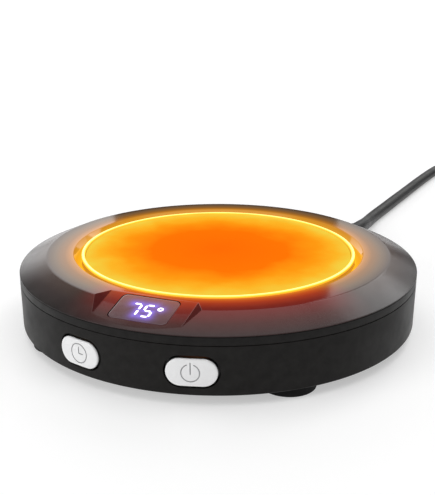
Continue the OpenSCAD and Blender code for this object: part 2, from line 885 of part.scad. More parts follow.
module sensor_wires() {
    color([0.2, 0.2, 0.2]) for (y = [-1, 1]) tube([
        [0.4, y, clamp_bottom - sensor_h], [4, y * 1.2, clamp_bottom - 2.4],
        [9, y * 1.4 - 1, clamp_bottom - 3], [15, y * 1.2 - 4, board_top + 4.6],
        [sensor_socket_at[0] - 2.8, sensor_socket_at[1] + y, board_top + 3.6],
        [sensor_socket_at[0] - 1.2, sensor_socket_at[1] + y, board_top + 3.1]
    ], thin_wire_r, 8);
}

module mains_wires() {
    out = [sin(outlet_az), cos(outlet_az)];
    across = [cos(outlet_az), -sin(outlet_az)];
    color([0.15, 0.2, 0.5]) for (k = [0, 1])
        let (side = 2 * k - 1,
            start = (inner_cord_end + 0.3) * out + side * 1.3 * across,
            bend = (inner_cord_end - 6) * out + side * 1.9 * across,
            rest = (inner_cord_end - 14) * out + side * 3.4 * across) tube([
        [start[0], start[1], outlet_z],
        [bend[0], bend[1], outlet_z + 0.8],
        [rest[0], rest[1], board_top + 1.6],
        [mains_pad_x[k], mains_pad_y + 8, board_top + 1.3],
        [mains_pad_x[k], mains_pad_y, board_top + wire_r + 0.05]
    ], wire_r, 8);
}

// Flat ribbon that drops from the display board to its socket on the main board
module display_ribbon() {
    half = 0.3;
    ribbon_w = 6;
    y1 = notch_l - body_r - lens_mid * cos(ramp_a) - display_board_bottom * sin(ramp_a);
    z1 = top_z - lens_mid * sin(ramp_a) + display_board_bottom * cos(ramp_a);
    y0 = display_socket_at[1] - socket_size[1] / 2;
    z0 = board_top + socket_size[2] / 2;
    color([0.75, 0.75, 0.78]) translate([-ribbon_w / 2, 0, 0]) rotate([90, 0, 90])
        linear_extrude(height = ribbon_w) polygon([
            [y1 - half, z1], [y1 + half, z1], [y1 + 1.6, z1 - 2.8], [y1 + 9, z1 - 4.4],
            [y0 - 8, z0 + half], [y0, z0 + half], [y0, z0 - half], [y0 - 8.2, z0 - half],
            [y1 + 8.8, z1 - 5], [y1 + 1.2, z1 - 3.3]
        ]);
}

module switch_wires() {
    reach = switch_back - switch_board_t + 0.3;
    color([0.2, 0.2, 0.2]) for (side = [-1, 1], k = [-1, 1]) {
        a = side * button_az;
        from = reach * [sin(a), -cos(a)];
        to = switch_socket_at[side > 0 ? 0 : 1] + [0, -socket_size[1] / 2];
        tube([
            [from[0] + k * 0.9, from[1], button_z + 0.6],
            [from[0] + k * 0.9 - side, from[1] + 5, button_z + 0.9],
            [to[0] + k * 0.9, to[1] - 8, board_top + 1.9],
            [to[0] + k * 0.9, to[1] - 0.1, board_top + socket_size[2] / 2]
        ], thin_wire_r, 8);
    }
}

// ---- mains lead ----

module cord_clamp() {
    top = cord_r + saddle_h;
    color([0.12, 0.12, 0.12]) at_outlet() translate([0, saddle_at, 0]) difference() {
        slab(2 * (saddle_x + saddle_post_r), saddle_l, saddle_post_top, top);
        saddle_groove();
        for (x = [-1, 1]) translate([x * saddle_x, 0, 0]) post(saddle_screw_r + 0.15, 0, top + 1);
    }
}

module cord_clamp_screws() {
    color([0.7, 0.7, 0.72]) at_outlet() for (x = [-1, 1])
        translate([x * saddle_x, saddle_at, cord_r + saddle_h]) rotate([180, 0, 0])
            screw(saddle_screw_r, cord_r + 3, 1.9, 1.2);
}

module cord_inner() {
    color([0.2, 0.2, 0.2]) at_outlet()
        outlet_rod(cord_r, cord_r, inner_cord_end, inner_r - 0.4 - relief_flange_t);
}

// Flange inside the wall, neck through it, and a ribbed taper outside
module strain_relief() {
    rings = 7;
    pitch = (relief_l - 6) / rings;
    fall = (relief_r - relief_tip_r) / rings;
    color([0.15, 0.15, 0.15]) at_outlet() union() {
        translate([0, inner_r - 0.4 - relief_flange_t / 2, 0])
            slab(relief_flange_w, relief_flange_t, floor_z + fit_gap - outlet_z, 5);
        outlet_rod(relief_neck_r, relief_neck_r, inner_r - 0.41, relief_start);
        outlet_rod(relief_r, relief_r, relief_start - eps, relief_start + 3);
        outlet_rod(relief_r - 0.7, relief_tip_r - 0.3, relief_start + 3 - eps, relief_end);
        for (k = [0:rings - 1])
            let (u = relief_start + 4 + k * pitch, r = relief_r - fall * (k + 1))
            outlet_rod(r, r, u, u + pitch * 0.55);
    }
}

module cord_lead() {
    color([0.3, 0.3, 0.3]) tube(lead_route, cord_r, 10);
}

module cord_coil() {
    color([0.3, 0.3, 0.3]) translate(coil_centre) rotate_extrude()
        translate([coil_mid_r, coil_layers * cord_r])
            round_rect((coil_turns + 1) * cord_d, coil_layers * cord_d, coil_edge_r);
}

module cord_tail() {
    color([0.3, 0.3, 0.3]) tube(tail_route, cord_r, 10);
}

module plug_body() {
    color([0.16, 0.16, 0.16]) translate([plug_x, plug_front_y, plug_h / 2]) rotate([-90, 0, 0]) {
        linear_extrude(height = plug_front_l) round_rect(plug_w, plug_h, plug_r);
        translate([0, 0, plug_front_l - eps]) linear_extrude(height = plug_l - plug_front_l)
            round_rect(plug_neck_w, plug_neck_h, plug_r);
        translate([0, 0, plug_l - 2 * eps])
            cylinder(r1 = plug_sleeve_r, r2 = relief_tip_r, h = plug_sleeve_l);
    }
}

module plug_blades() {
    color([0.8, 0.78, 0.7]) for (x = [-1, 1])
        translate([plug_x + x * blade_x, plug_front_y, plug_h / 2]) difference() {
            translate([-blade_t / 2, -blade_l, -blade_w / 2]) cube([blade_t, blade_l, blade_w]);
            translate([0, 2 * blade_hole_r - blade_l, 0]) rotate([0, 90, 0])
                cylinder(r = blade_hole_r, h = 2 * blade_t + 1, center = true, $fn = 32);
        }
}

top_cover();
base_shell();
heating_plate();
light_ring();
plate_gasket();
glow_board();
glow_leds();
heater_element();
insulation_pad();
heater_clamp();
clamp_screws();
plate_screws();
thermistor();
thermal_fuse();
fuse_strap();
display_lens();
display_module();
display_board();
display_screws();
power_button();
power_plunger();
power_switch();
timer_button();
timer_plunger();
timer_switch();
switch_boards();
main_board();
board_screws();
film_capacitor();
smoothing_capacitor();
triac();
main_fuse();
rectifier();
controller_chip();
buzzer();
board_sockets();
heater_wires();
sensor_wires();
mains_wires();
display_ribbon();
switch_wires();
housing_screws();
rubber_feet();
cord_clamp();
cord_clamp_screws();
cord_inner();
strain_relief();
cord_lead();
cord_coil();
cord_tail();
plug_body();
plug_blades();
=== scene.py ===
import json
import math

import bmesh
import bpy
import numpy as np
from mathutils import Matrix, Vector


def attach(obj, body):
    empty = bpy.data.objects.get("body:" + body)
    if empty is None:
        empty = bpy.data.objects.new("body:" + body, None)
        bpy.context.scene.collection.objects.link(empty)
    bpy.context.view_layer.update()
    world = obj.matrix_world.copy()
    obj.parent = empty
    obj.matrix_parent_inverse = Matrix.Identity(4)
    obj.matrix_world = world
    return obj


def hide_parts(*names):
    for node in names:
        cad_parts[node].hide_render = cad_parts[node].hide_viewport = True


# Electric mug warmer: black housing, glowing plate and light ring, digits in a sloping notch,
# two white keys, rubber feet and a coiled mains lead.
# Lengths in the dictionaries are millimetres; meshes are made in metres.

mm = 0.001
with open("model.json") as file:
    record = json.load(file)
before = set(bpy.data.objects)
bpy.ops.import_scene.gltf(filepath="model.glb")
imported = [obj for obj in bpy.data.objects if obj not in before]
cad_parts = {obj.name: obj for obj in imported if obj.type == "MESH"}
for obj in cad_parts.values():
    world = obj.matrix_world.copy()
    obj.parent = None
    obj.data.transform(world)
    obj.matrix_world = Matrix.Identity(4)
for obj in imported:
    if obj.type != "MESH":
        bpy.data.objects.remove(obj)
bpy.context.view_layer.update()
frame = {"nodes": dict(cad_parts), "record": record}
print("frame loaded")


camera = {
    "place": (92.8, -237.5, 105.4),
    "looksAlong": (-0.3475, 0.8867, -0.3051),
    "lens": 58.18,  # gives a focal length of 800 pixels on a frame 495 pixels high
    "sensor": 36.0,
}


def makeCamera():
    data = bpy.data.cameras.new("camera")
    data.lens = camera["lens"]
    data.sensor_width = camera["sensor"]
    data.clip_start = 0.01
    data.clip_end = 50
    shot = bpy.data.objects.new("camera", data)
    bpy.context.scene.collection.objects.link(shot)
    shot.location = Vector(camera["place"]) * mm
    shot.rotation_mode = "QUATERNION"
    shot.rotation_quaternion = Vector(camera["looksAlong"]).to_track_quat("-Z", "Y")
    bpy.context.scene.camera = shot


makeCamera()


def newObject(name, verts, faces):
    mesh = bpy.data.meshes.new(name)
    mesh.from_pydata([tuple(v) for v in verts], [], faces)
    mesh.validate()
    made = bpy.data.objects.new(name, mesh)
    bpy.context.scene.collection.objects.link(made)
    return made


def tidyMesh(thing, mergeAt=1e-7):
    # merges doubled points and turns all faces outwards
    shape = bmesh.new()
    shape.from_mesh(thing.data)
    bmesh.ops.remove_doubles(shape, verts=shape.verts, dist=mergeAt)
    bmesh.ops.recalc_face_normals(shape, faces=shape.faces)
    shape.to_mesh(thing.data)
    shape.free()


def newSolid(name, verts, faces, mergeAt=1e-7):
    made = newObject(name, verts, faces)
    tidyMesh(made, mergeAt)
    return made


def shadeByAngle(thing, degrees):
    thing.data.shade_smooth()
    thing.data.set_sharp_from_angle(angle=math.radians(degrees))


def removeObject(thing):
    data = thing.data
    bpy.data.objects.remove(thing)
    if isinstance(data, bpy.types.Mesh):
        bpy.data.meshes.remove(data)


def bakeModifiers(thing):
    # the evaluated mesh takes the place of the object's own
    graph = bpy.context.evaluated_depsgraph_get()
    baked = bpy.data.meshes.new_from_object(thing.evaluated_get(graph))
    old = thing.data
    thing.modifiers.clear()
    thing.data = baked
    bpy.data.meshes.remove(old)
    baked.name = thing.name


def combine(thing, others, operation):
    # unites the others with the thing or cuts them out of it
    for other in others:
        modifier = thing.modifiers.new("combine", "BOOLEAN")
        modifier.operation = operation
        modifier.solver = "EXACT"
        modifier.object = other
        if operation == "DIFFERENCE":
            modifier.material_mode = "TRANSFER"
    bakeModifiers(thing)
    for other in others:
        removeObject(other)


def movePoints(thing, place):
    for vert in thing.data.vertices:
        vert.co = place(*(c / mm for c in vert.co))


def joinAll(parts):
    # several meshes become one; the first keeps its name
    shape = bmesh.new()
    for part in parts:
        shape.from_mesh(part.data)
    shape.to_mesh(parts[0].data)
    shape.free()
    for part in parts[1:]:
        removeObject(part)
    return parts[0]


def filleted(points, steps=5):
    # points are (r, z, radius of the rounded corner)
    out = []
    for k, (x, y, radius) in enumerate(points):
        here = Vector((x, y))
        if radius <= 0:
            out.append(tuple(here))
            continue
        before = Vector(points[k - 1][:2]) - here
        after = Vector(points[(k + 1) % len(points)][:2]) - here
        half = before.angle(after) / 2
        reach = min(radius / math.tan(half), before.length * 0.49, after.length * 0.49)
        radius = reach * math.tan(half)
        centre = here + (before.normalized() + after.normalized()).normalized() * radius / math.sin(half)
        first = here + before.normalized() * reach - centre
        last = here + after.normalized() * reach - centre
        turn = first.angle_signed(last)
        for s in range(steps + 1):
            arm = first.copy()
            arm.rotate(Matrix.Rotation(-turn * s / steps, 2))
            out.append(tuple(centre + arm))
    return out


def circle(sides):
    # (cosine, sine) of evenly spaced angles
    angles = [2 * math.pi * k / sides for k in range(sides)]
    return [(math.cos(a), math.sin(a)) for a in angles]


def gridFaces(rows, count, closed=False):
    # quads between rows of count points each; closed joins the last row to the first
    faces = []
    for row in range(rows if closed else rows - 1):
        low, high = row * count, (row + 1) % rows * count
        for k in range(count):
            n = (k + 1) % count
            faces.append([low + k, low + n, high + n, high + k])
    return faces


def lathe(name, profile, sides, closed=True):
    # profile is a list of (r, z) in mm; a closed one makes a ring, an open one ends on the axis
    verts, faces, rows = [], [], []
    for r, z in profile:
        if r < 1e-6:
            rows.append([len(verts)] * sides)
            verts.append((0, 0, z * mm))
        else:
            rows.append([len(verts) + k for k in range(sides)])
            verts += [(r * c * mm, r * s * mm, z * mm) for c, s in circle(sides)]
    pairs = list(zip(rows, rows[1:]))
    if closed:
        pairs.append((rows[-1], rows[0]))
    for low, high in pairs:
        for k in range(sides):
            n = (k + 1) % sides
            ring = [low[k], low[n], high[n], high[k]]
            ring = [v for i, v in enumerate(ring) if v not in ring[:i]]
            if len(ring) > 2:
                faces.append(ring)
    return newSolid(name, verts, faces)


def outline(width, height, radius, cornerSteps=10, straightSteps=6):
    # rounded rectangle or pill, anticlockwise, with the same number of points at any size
    radius = min(radius, width / 2, height / 2)
    arcs = []
    for sx, sy, start in ((1, 1, 0), (-1, 1, 90), (-1, -1, 180), (1, -1, 270)):
        cx, cy = sx * (width / 2 - radius), sy * (height / 2 - radius)
        turns = [math.radians(start + 90 * k / cornerSteps) for k in range(cornerSteps + 1)]
        arcs.append([(cx + radius * math.cos(a), cy + radius * math.sin(a)) for a in turns])
    points = []
    for arc, following in zip(arcs, arcs[1:] + arcs[:1]):
        (x, y), (goalX, goalY) = arc[-1], following[0]
        shares = [k / straightSteps for k in range(1, straightSteps)]
        points += arc + [(x + (goalX - x) * t, y + (goalY - y) * t) for t in shares]
    return points


def stripFaces(first, cornerSteps, straightSteps):
    # closes an outline with quads that run from its upper edge to its lower one
    count = 4 * (cornerSteps + straightSteps)
    last = 2 * cornerSteps + straightSteps
    below = [count - straightSteps - k for k in range(last + 1)]
    faces = [[k, k + 1, below[k + 1], below[k]] for k in range(last)]
    faces[0] += range(below[0] + 1, count)
    faces[-1][2:2] = range(last + 1, below[last])
    return [[first + k for k in face] for face in faces]


def roundedEnd(width, height, radius, end, across, along, steps):
    # the last sections of a loft, through a quarter ellipse into its end face
    sections = []
    for k in range(steps + 1):
        a = math.radians(90 * k / steps)
        inset = across * (1 - math.cos(a))
        sections.append((width - inset, height - inset, radius - inset / 2, end - along * (1 - math.sin(a))))
    return sections


def loft(name, sections, place, cornerSteps=10, straightSteps=6, strip=False):
    # sections are (width, height, radius, depth); place turns (u, v, depth) into a point
    verts = []
    count = 4 * (cornerSteps + straightSteps)
    for width, height, radius, depth in sections:
        verts += [place(u, v, depth) for u, v in outline(width, height, radius, cornerSteps, straightSteps)]
    faces = gridFaces(len(sections), count)
    for first in (0, (len(sections) - 1) * count):
        if strip:
            faces += stripFaces(first, cornerSteps, straightSteps)
        else:
            faces.append([first + k for k in range(count)])
    return newSolid(name, verts, faces)


def rod(name, radius, start, end, place, sides=48):
    # straight cylinder between two depths
    verts = [place(radius * c, radius * s, depth) for depth in (start, end) for c, s in circle(sides)]
    faces = gridFaces(2, sides)
    faces += [list(range(sides))[::-1], [sides + k for k in range(sides)]]
    return newSolid(name, verts, faces)


def tube(name, path, radius, sides=16):
    # round tube along a path in metres, with rings that don't twist
    points = [Vector(p) for p in path]
    verts = []
    side = None
    for k, p in enumerate(points):
        along = (points[min(k + 1, len(points) - 1)] - points[max(k - 1, 0)]).normalized()
        if side is None:
            side = along.cross(Vector((0, 0, 1))).normalized()
        side = (side - along * side.dot(along)).normalized()
        up = along.cross(side)
        verts += [p + (side * c + up * s) * radius for c, s in circle(sides)]
    faces = gridFaces(len(points), sides)
    faces += [list(range(sides))[::-1], [len(verts) - sides + k for k in range(sides)]]
    return newSolid(name, verts, faces)


housing = {
    "radius": 65.0,
    "footHeight": 3.0,
    "baseTop": 17.43,
    "lipZ": 17.6,
    "bevelZ": 20.3,
    "topZ": 24.1,
    "ringRadius": 56.3,
    "recessRadius": 47.7,
    "throatRadius": 45.4,
    "throatZ": 21.5,
}

notch = {
    "slope": 12.75,  # degrees
    "innerEnd": -49.2,  # y of the crease with the flat ring
    "width": 26.8,
    "sideSlope": 19.4,  # degrees to the notch's floor
}

lens = {
    "width": 17.5,
    "length": 11.4,
    "radius": 1.6,
    "middle": 6.65,  # distance down the slope
    "thickness": 1.2,
    "gap": 0.28,
    "edge": 0.14,
    "edgeSteps": 6,
    "backEdge": 0.1,
    "proud": 0.03,
    "rings": 22,  # rows of faces on its top, fine enough to hold the painted glow round the digits
    "windowWidth": 14.4,
    "windowLength": 8.6,
    "windowRadius": 0.2,
    "windowDepth": 7.0,
    "cutterTop": 3.0,
}

button = {
    "width": 14.25,
    "height": 7.95,
    "azimuth": 15.1,
    "z": 9.9,
    "gap": 0.65,
    "faceRadius": 65.5,
    "backRadius": 62.1,
    "edge": 0.5,
    "iconLine": 0.32,
    "iconDepth": 0.18,
    "clockRadius": 3.0,
    "clockShift": 0.35,
    "clockHands": (1.8, 1.4),  # lengths of the upright and the level one
    "powerRadius": 2.65,
    "powerShift": -0.25,
    "powerArc": (113, 427),  # degrees
    "powerBar": (-0.3, 2.9),
}


def onRamp(u, v, w):
    # u across, v up the slope from the lens's middle, w out of the floor
    a = math.radians(notch["slope"])
    s = v - lens["middle"]
    y = notch["innerEnd"] + s * math.cos(a) - w * math.sin(a)
    z = housing["topZ"] + s * math.sin(a) + w * math.cos(a)
    return Vector((u, y, z)) * mm


def insidePocket(point):
    # whether a point lies in the lens's pocket, under the notch's floor
    a = math.radians(notch["slope"])
    y = point.y / mm - notch["innerEnd"]
    z = point.z / mm - housing["topZ"]
    reach = lens["gap"] + 0.05
    across = abs(point.x / mm) < lens["width"] / 2 + reach
    along = abs(y * math.cos(a) + z * math.sin(a) + lens["middle"]) < lens["length"] / 2 + reach
    return across and along and z * math.cos(a) - y * math.sin(a) < -0.05


def onWall(side):
    # u around the wall, v up, w is the distance from the axis
    centre = math.radians(side * button["azimuth"])

    def place(u, v, w):
        a = centre + u / button["faceRadius"]
        return Vector((w * math.sin(a), -w * math.cos(a), button["z"] + v)) * mm

    return place


def flatWall(side):
    # as onWall, but u runs straight across and w is measured along the button's own axis
    a = math.radians(side * button["azimuth"])
    out = Vector((math.sin(a), -math.cos(a), 0))
    across = Vector((math.cos(a), math.sin(a), 0))
    return lambda u, v, w: (out * w + across * u + Vector((0, 0, button["z"] + v))) * mm


outlet = {"azimuth": 18.0, "z": 9.0, "holeRadius": 3.7, "holeEnds": (58.0, 68.0)}


def alongOutlet(u, v, w):
    # w outwards along the lead's outlet
    a = math.radians(outlet["azimuth"])
    out = Vector((math.sin(a), math.cos(a), 0))
    across = Vector((math.cos(a), -math.sin(a), 0))
    return (out * w + across * u + Vector((0, 0, outlet["z"] + v))) * mm


lightRing = {
    "inner": 44.1,
    "outer": 45.2,
    "topZ": 23.7,
    "flangeRadius": 49.0,
    "flangeTop": 19.4,
    "flangeBottom": 18.4,
    "edge": 0.3,
    "flangeEdge": 0.1,
    "sides": 256,
}


def addNode(material, kind, **settings):
    node = material.node_tree.nodes.new(kind)
    for key, value in settings.items():
        setattr(node, key, value)
    return node


def link(material, start, end):
    material.node_tree.links.new(start, end)


def shaderOf(material):
    return material.node_tree.nodes["Principled BSDF"]


def setOrLink(material, socket, value):
    # the value is a number, a colour or the output of another node
    if isinstance(value, bpy.types.NodeSocket):
        link(material, value, socket)
    elif isinstance(value, tuple):
        socket.default_value = (*value, 1)
    else:
        socket.default_value = value


def feed(material, name, value):
    # into the shader's own input of that name
    setOrLink(material, shaderOf(material).inputs[name], value)


def glow(material, colour, strength=1.0):
    feed(material, "Emission Color", colour)
    feed(material, "Emission Strength", strength)


def makeMaterial(name, colour, roughness, metallic=0.0, coat=0.0, coatRoughness=0.1, specular=0.5):
    material = bpy.data.materials.new(name)
    material.use_nodes = True
    values = {
        "Base Color": colour,
        "Roughness": roughness,
        "Metallic": metallic,
        "Specular IOR Level": specular,
        "Coat Weight": coat,
        "Coat Roughness": coatRoughness,
    }
    for socket, value in values.items():
        feed(material, socket, value)
    return material


def objectCoordinates(material, scale=(1, 1, 1)):
    # object coordinates in millimetres
    coordinates = addNode(material, "ShaderNodeTexCoord")
    mapping = addNode(material, "ShaderNodeMapping")
    mapping.inputs["Scale"].default_value = [s / mm for s in scale]
    link(material, coordinates.outputs["Object"], mapping.inputs["Vector"])
    return mapping.outputs["Vector"]


def splitAxes(material, vector):
    node = addNode(material, "ShaderNodeSeparateXYZ")
    link(material, vector, node.inputs["Vector"])
    return node.outputs


def noise(material, vector, size, detail=3.0, roughness=0.55):
    # size is the width of a feature in millimetres
    node = addNode(material, "ShaderNodeTexNoise")
    node.inputs["Scale"].default_value = 1 / size
    node.inputs["Detail"].default_value = detail
    node.inputs["Roughness"].default_value = roughness
    link(material, vector, node.inputs["Vector"])
    return node.outputs["Fac"]


def remap(material, value, low, high, fromLow=0.3, fromHigh=0.7, smooth=False):
    node = addNode(material, "ShaderNodeMapRange")
    if smooth:
        node.interpolation_type = "SMOOTHSTEP"
    fill = {"Value": value, "From Min": fromLow, "From Max": fromHigh, "To Min": low, "To Max": high}
    for socket, given in fill.items():
        setOrLink(material, node.inputs[socket], given)
    return node.outputs["Result"]


def math2(material, operation, first, second=0.0):
    node = addNode(material, "ShaderNodeMath", operation=operation)
    setOrLink(material, node.inputs[0], first)
    setOrLink(material, node.inputs[1], second)
    return node.outputs["Value"]


def stripes(material, value, pitch):
    # a sine wave of the value, from -1 to 1
    return math2(material, "SINE", math2(material, "MULTIPLY", value, 2 * math.pi / pitch))


def mixColours(material, factor, first, second):
    node = addNode(material, "ShaderNodeMix", data_type="RGBA")
    link(material, factor, node.inputs["Factor"])
    for key, value in (("A", first), ("B", second)):
        setOrLink(material, next(s for s in node.inputs if s.name == key and s.type == "RGBA"), value)
    return next(s for s in node.outputs if s.type == "RGBA")


def colourRamp(material, value, stops):
    # stops are (value, colour)
    low, high = stops[0][0], stops[-1][0]
    node = addNode(material, "ShaderNodeValToRGB")
    link(material, remap(material, value, 0, 1, low, high), node.inputs["Fac"])
    elements = node.color_ramp.elements
    while len(elements) < len(stops):
        elements.new(0.5)
    for element, (place, colour) in zip(elements, stops):
        element.position = (place - low) / (high - low)
        element.color = (*colour, 1)
    return node.outputs["Color"]


def addBump(material, height, distance):
    # distance in millimetres
    node = addNode(material, "ShaderNodeBump")
    node.inputs["Distance"].default_value = distance * mm
    link(material, height, node.inputs["Height"])
    feed(material, "Normal", node.outputs["Normal"])


def radiusOf(material, vector):
    # distance from the Z axis, in millimetres
    flat = addNode(material, "ShaderNodeVectorMath", operation="MULTIPLY")
    flat.inputs[1].default_value = (1, 1, 0)
    link(material, vector, flat.inputs[0])
    length = addNode(material, "ShaderNodeVectorMath", operation="LENGTH")
    link(material, flat.outputs["Vector"], length.inputs[0])
    return length.outputs["Value"]


def mouldedPlastic(name, colour, roughness, grain=0.25, bump=0.004, spread=0.06, specular=0.5):
    # fine moulded grain, with cloudy variation of gloss and tone
    material = makeMaterial(name, colour, roughness, specular=specular)
    vector = objectCoordinates(material)
    cloud = noise(material, vector, 9.0, 4.0)
    feed(material, "Roughness", remap(material, cloud, roughness - spread, roughness + spread))
    lighter = tuple(c * 1.35 + 0.002 for c in colour)
    patches = remap(material, noise(material, vector, 2.5), 0, 1)
    feed(material, "Base Color", mixColours(material, patches, colour, lighter))
    addBump(material, noise(material, vector, grain, 2.0), bump)
    return material


def metal(name, colour, roughness, direction=(1, 1, 1)):
    # drawn or turned metal: grain is stretched where direction is small
    material = makeMaterial(name, colour, roughness, metallic=1.0)
    lines = noise(material, objectCoordinates(material, direction), 0.2, 4.0, 0.7)
    feed(material, "Roughness", remap(material, lines, roughness - 0.1, roughness + 0.12))
    feed(material, "Base Color", mixColours(material, lines, colour, tuple(c * 0.8 for c in colour)))
    addBump(material, lines, 0.004)
    return material


coverLook = {
    "colour": (0.0105, 0.0085, 0.008),
    "roughness": 0.16,
    "specular": 0.28,
    "grain": 0.5,
    "bump": 0.0015,
    "spread": 0.035,  # variation of the roughness
    "glow": (  # (radius, colour) of painted light: emission standing in for the orange light that the ring and plate throw on the cover
        (45.4, (0.9, 0.42, 0.01)),
        (47.7, (0.62, 0.24, 0.003)),
        (48.6, (0.47, 0.17, 0.002)),
        (50.5, (0.26, 0.1, 0.005)),
        (53.5, (0.135, 0.072, 0.026)),
        (56.3, (0.035, 0.014, 0.006)),
        (61.0, (0.012, 0.003, 0.002)),
        (65.0, (0.002, 0.0005, 0.0004)),
    ),
    "paintedFrontGlow": (  # the same painted light, stronger in front round the display
        (45.4, (0.9, 0.42, 0.01)),
        (47.7, (0.75, 0.2, 0.003)),
        (49.5, (0.54, 0.07, 0.002)),
        (51.5, (0.36, 0.028, 0.001)),
        (54.5, (0.2, 0.01, 0.001)),
        (56.8, (0.14, 0.004, 0.001)),
        (61.0, (0.055, 0.003, 0.001)),
        (65.0, (0.014, 0.001, 0.001)),
    ),
    "front": (0.364, -0.931, 0.0),  # the way in which the painted front light is strongest
    "frontFrom": 46.0,  # degrees away from it where that glow starts
    "frontFull": 31.0,
    "paintedSideGlow": (  # painted red light on the notch's two sides, which are otherwise dark and dull
        (49.0, (0.16, 0.012, 0.003)),
        (55.0, (0.07, 0.005, 0.004)),
        (62.0, (0.04, 0.004, 0.004)),
    ),
    "ringGloss": 0.5,  # roughness of the flat ring as a share of "roughness"
    "bevelGloss": 1.4,  # the same for the bevel
    "glossHalf": 0.3,  # half the width of the change between them
    "sideRoughness": 0.5,
    "sideSpecular": 0.0,
}


def coverMaterial():
    # glossy black, with painted light: emission near the plate stands in for the light ring's glow on it,
    # stronger in front
    look = coverLook
    settings = {key: look[key] for key in ("grain", "bump", "spread", "specular")}
    material = mouldedPlastic("coverBlack", look["colour"], look["roughness"], **settings)
    vector = objectCoordinates(material)
    radius = radiusOf(material, vector)
    along = addNode(material, "ShaderNodeVectorMath", operation="DOT_PRODUCT")
    link(material, vector, along.inputs[0])
    along.inputs[1].default_value = look["front"]
    facing = math2(material, "DIVIDE", along.outputs["Value"], radius)
    begin, full = (math.cos(math.radians(look[key])) for key in ("frontFrom", "frontFull"))
    front = remap(material, facing, 0, 1, begin, full, smooth=True)
    # painted light: the ring's glow as emission by radius, blended towards the stronger front ramp
    around, ahead = (colourRamp(material, radius, look[key]) for key in ("glow", "paintedFrontGlow"))
    glow(material, mixColours(material, front, around, ahead))
    low, high = (housing["ringRadius"] + way * look["glossHalf"] for way in (-1, 1))
    share = remap(material, radius, look["ringGloss"], look["bevelGloss"], low, high)
    uneven = shaderOf(material).inputs["Roughness"].links[0].from_socket
    feed(material, "Roughness", math2(material, "MULTIPLY", uneven, share))
    return material


def notchSideMaterial():
    # dull sides of the notch, with the ring's red light painted on as emission
    look = coverLook
    settings = {"grain": look["grain"], "bump": look["bump"], "specular": look["sideSpecular"]}
    material = mouldedPlastic("notchSide", look["colour"], look["sideRoughness"], **settings)
    radius = radiusOf(material, objectCoordinates(material))
    glow(material, colourRamp(material, radius, look["paintedSideGlow"]))
    return material


plateLook = {
    "colour": (0.05, 0.01, 0.001),
    "roughness": (0.44, 0.56),
    "linePitch": 0.6,
    "cloud": 14.0,  # width of the uneven patches
    "shift": 2.5,  # how far they move the glow's rings
    "strength": 0.96,
    # painted glow: (radius, colour) of the plate's emission
    "glow": (
        (0.0, (1.0, 0.15, 0.001)),
        (22.0, (1.0, 0.18, 0.001)),
        (32.0, (1.0, 0.33, 0.006)),
        (38.0, (0.98, 0.48, 0.02)),
        (44.0, (0.9, 0.66, 0.06)),
    ),
}


def plateMaterial():
    # heating plate with a dark coating and fine turned lines; its orange is painted glow, emission that is
    # redder in the middle and yellower towards the light ring
    look = plateLook
    material = makeMaterial("plateOrange", look["colour"], look["roughness"][0], specular=0.0)
    vector = objectCoordinates(material)
    radius = radiusOf(material, vector)
    cloud = noise(material, vector, look["cloud"])
    patchy = math2(material, "ADD", radius, remap(material, cloud, -look["shift"], look["shift"]))
    glow(material, colourRamp(material, patchy, look["glow"]), look["strength"])
    feed(material, "Roughness", remap(material, cloud, *look["roughness"]))
    addBump(material, stripes(material, radius, look["linePitch"]), 0.004)
    return material


lightLook = {
    "colour": (0.4, 0.25, 0.05),
    "roughness": 0.4,
    "rim": (1.0, 0.42, 0.015),
    "core": (1.0, 0.84, 0.28),
    "strength": (1.44, 1.76),  # least and most, between and over the LEDs
    "foot": 0.15,  # share of it under the ring's top
    "fade": (0.9, 0.1),  # depths under the top between which it rises
}


def lightMaterial():
    # frosted light guide: brightest along its middle and its top, a little uneven between its LEDs
    look = lightLook
    material = makeMaterial("lightAmber", look["colour"], look["roughness"])
    vector = objectCoordinates(material)
    edge, far = lightRing["inner"], lightRing["outer"]
    stops = ((edge, look["rim"]), ((edge + far) / 2, look["core"]), (far, look["rim"]))
    low, high = (lightRing["topZ"] - depth for depth in look["fade"])
    height = remap(material, splitAxes(material, vector)["Z"], look["foot"], 1, low, high)
    uneven = remap(material, noise(material, vector, 11.0, 1.0), *look["strength"])
    colour = colourRamp(material, radiusOf(material, vector), stops)
    glow(material, colour, math2(material, "MULTIPLY", height, uneven))
    addBump(material, noise(material, vector, 0.2, 2.0), 0.003)
    return material


lensLook = {
    "colour": (0.05, 0.028, 0.03),
    "roughness": (0.08, 0.18),
    "coat": 0.35,
    "coatRoughness": 0.04,
    "paintedRingLight": (  # (radius, colour) of painted light: emission standing in for the ring's light in the window
        (50.0, (0.3, 0.085, 0.05)),
        (52.5, (0.2, 0.07, 0.06)),
        (56.0, (0.12, 0.045, 0.045)),
        (61.5, (0.05, 0.022, 0.026)),
    ),
    # colour of the painted glow round the digits
    "halo": (0.26, 0.17, 0.86),
}


def lensMaterial():
    # smoked window with painted light as emission: the ring's light in it and a painted glow round the
    # digits, whose strength is in the mesh's own attribute
    look = lensLook
    coat = {"coat": look["coat"], "coatRoughness": look["coatRoughness"]}
    material = makeMaterial("lensSmoke", look["colour"], look["roughness"][0], **coat)
    vector = objectCoordinates(material)
    halo = addNode(material, "ShaderNodeAttribute", attribute_name="halo").outputs["Fac"]
    paintedRingLight = colourRamp(material, radiusOf(material, vector), look["paintedRingLight"])
    glow(material, mixColours(material, halo, paintedRingLight, look["halo"]))
    feed(material, "Roughness", remap(material, noise(material, vector, 3.0), *look["roughness"]))
    return material


digitLook = {"colour": (0.9, 0.92, 1.0), "glow": (0.95, 0.88, 0.86), "strength": (1.15, 1.5)}


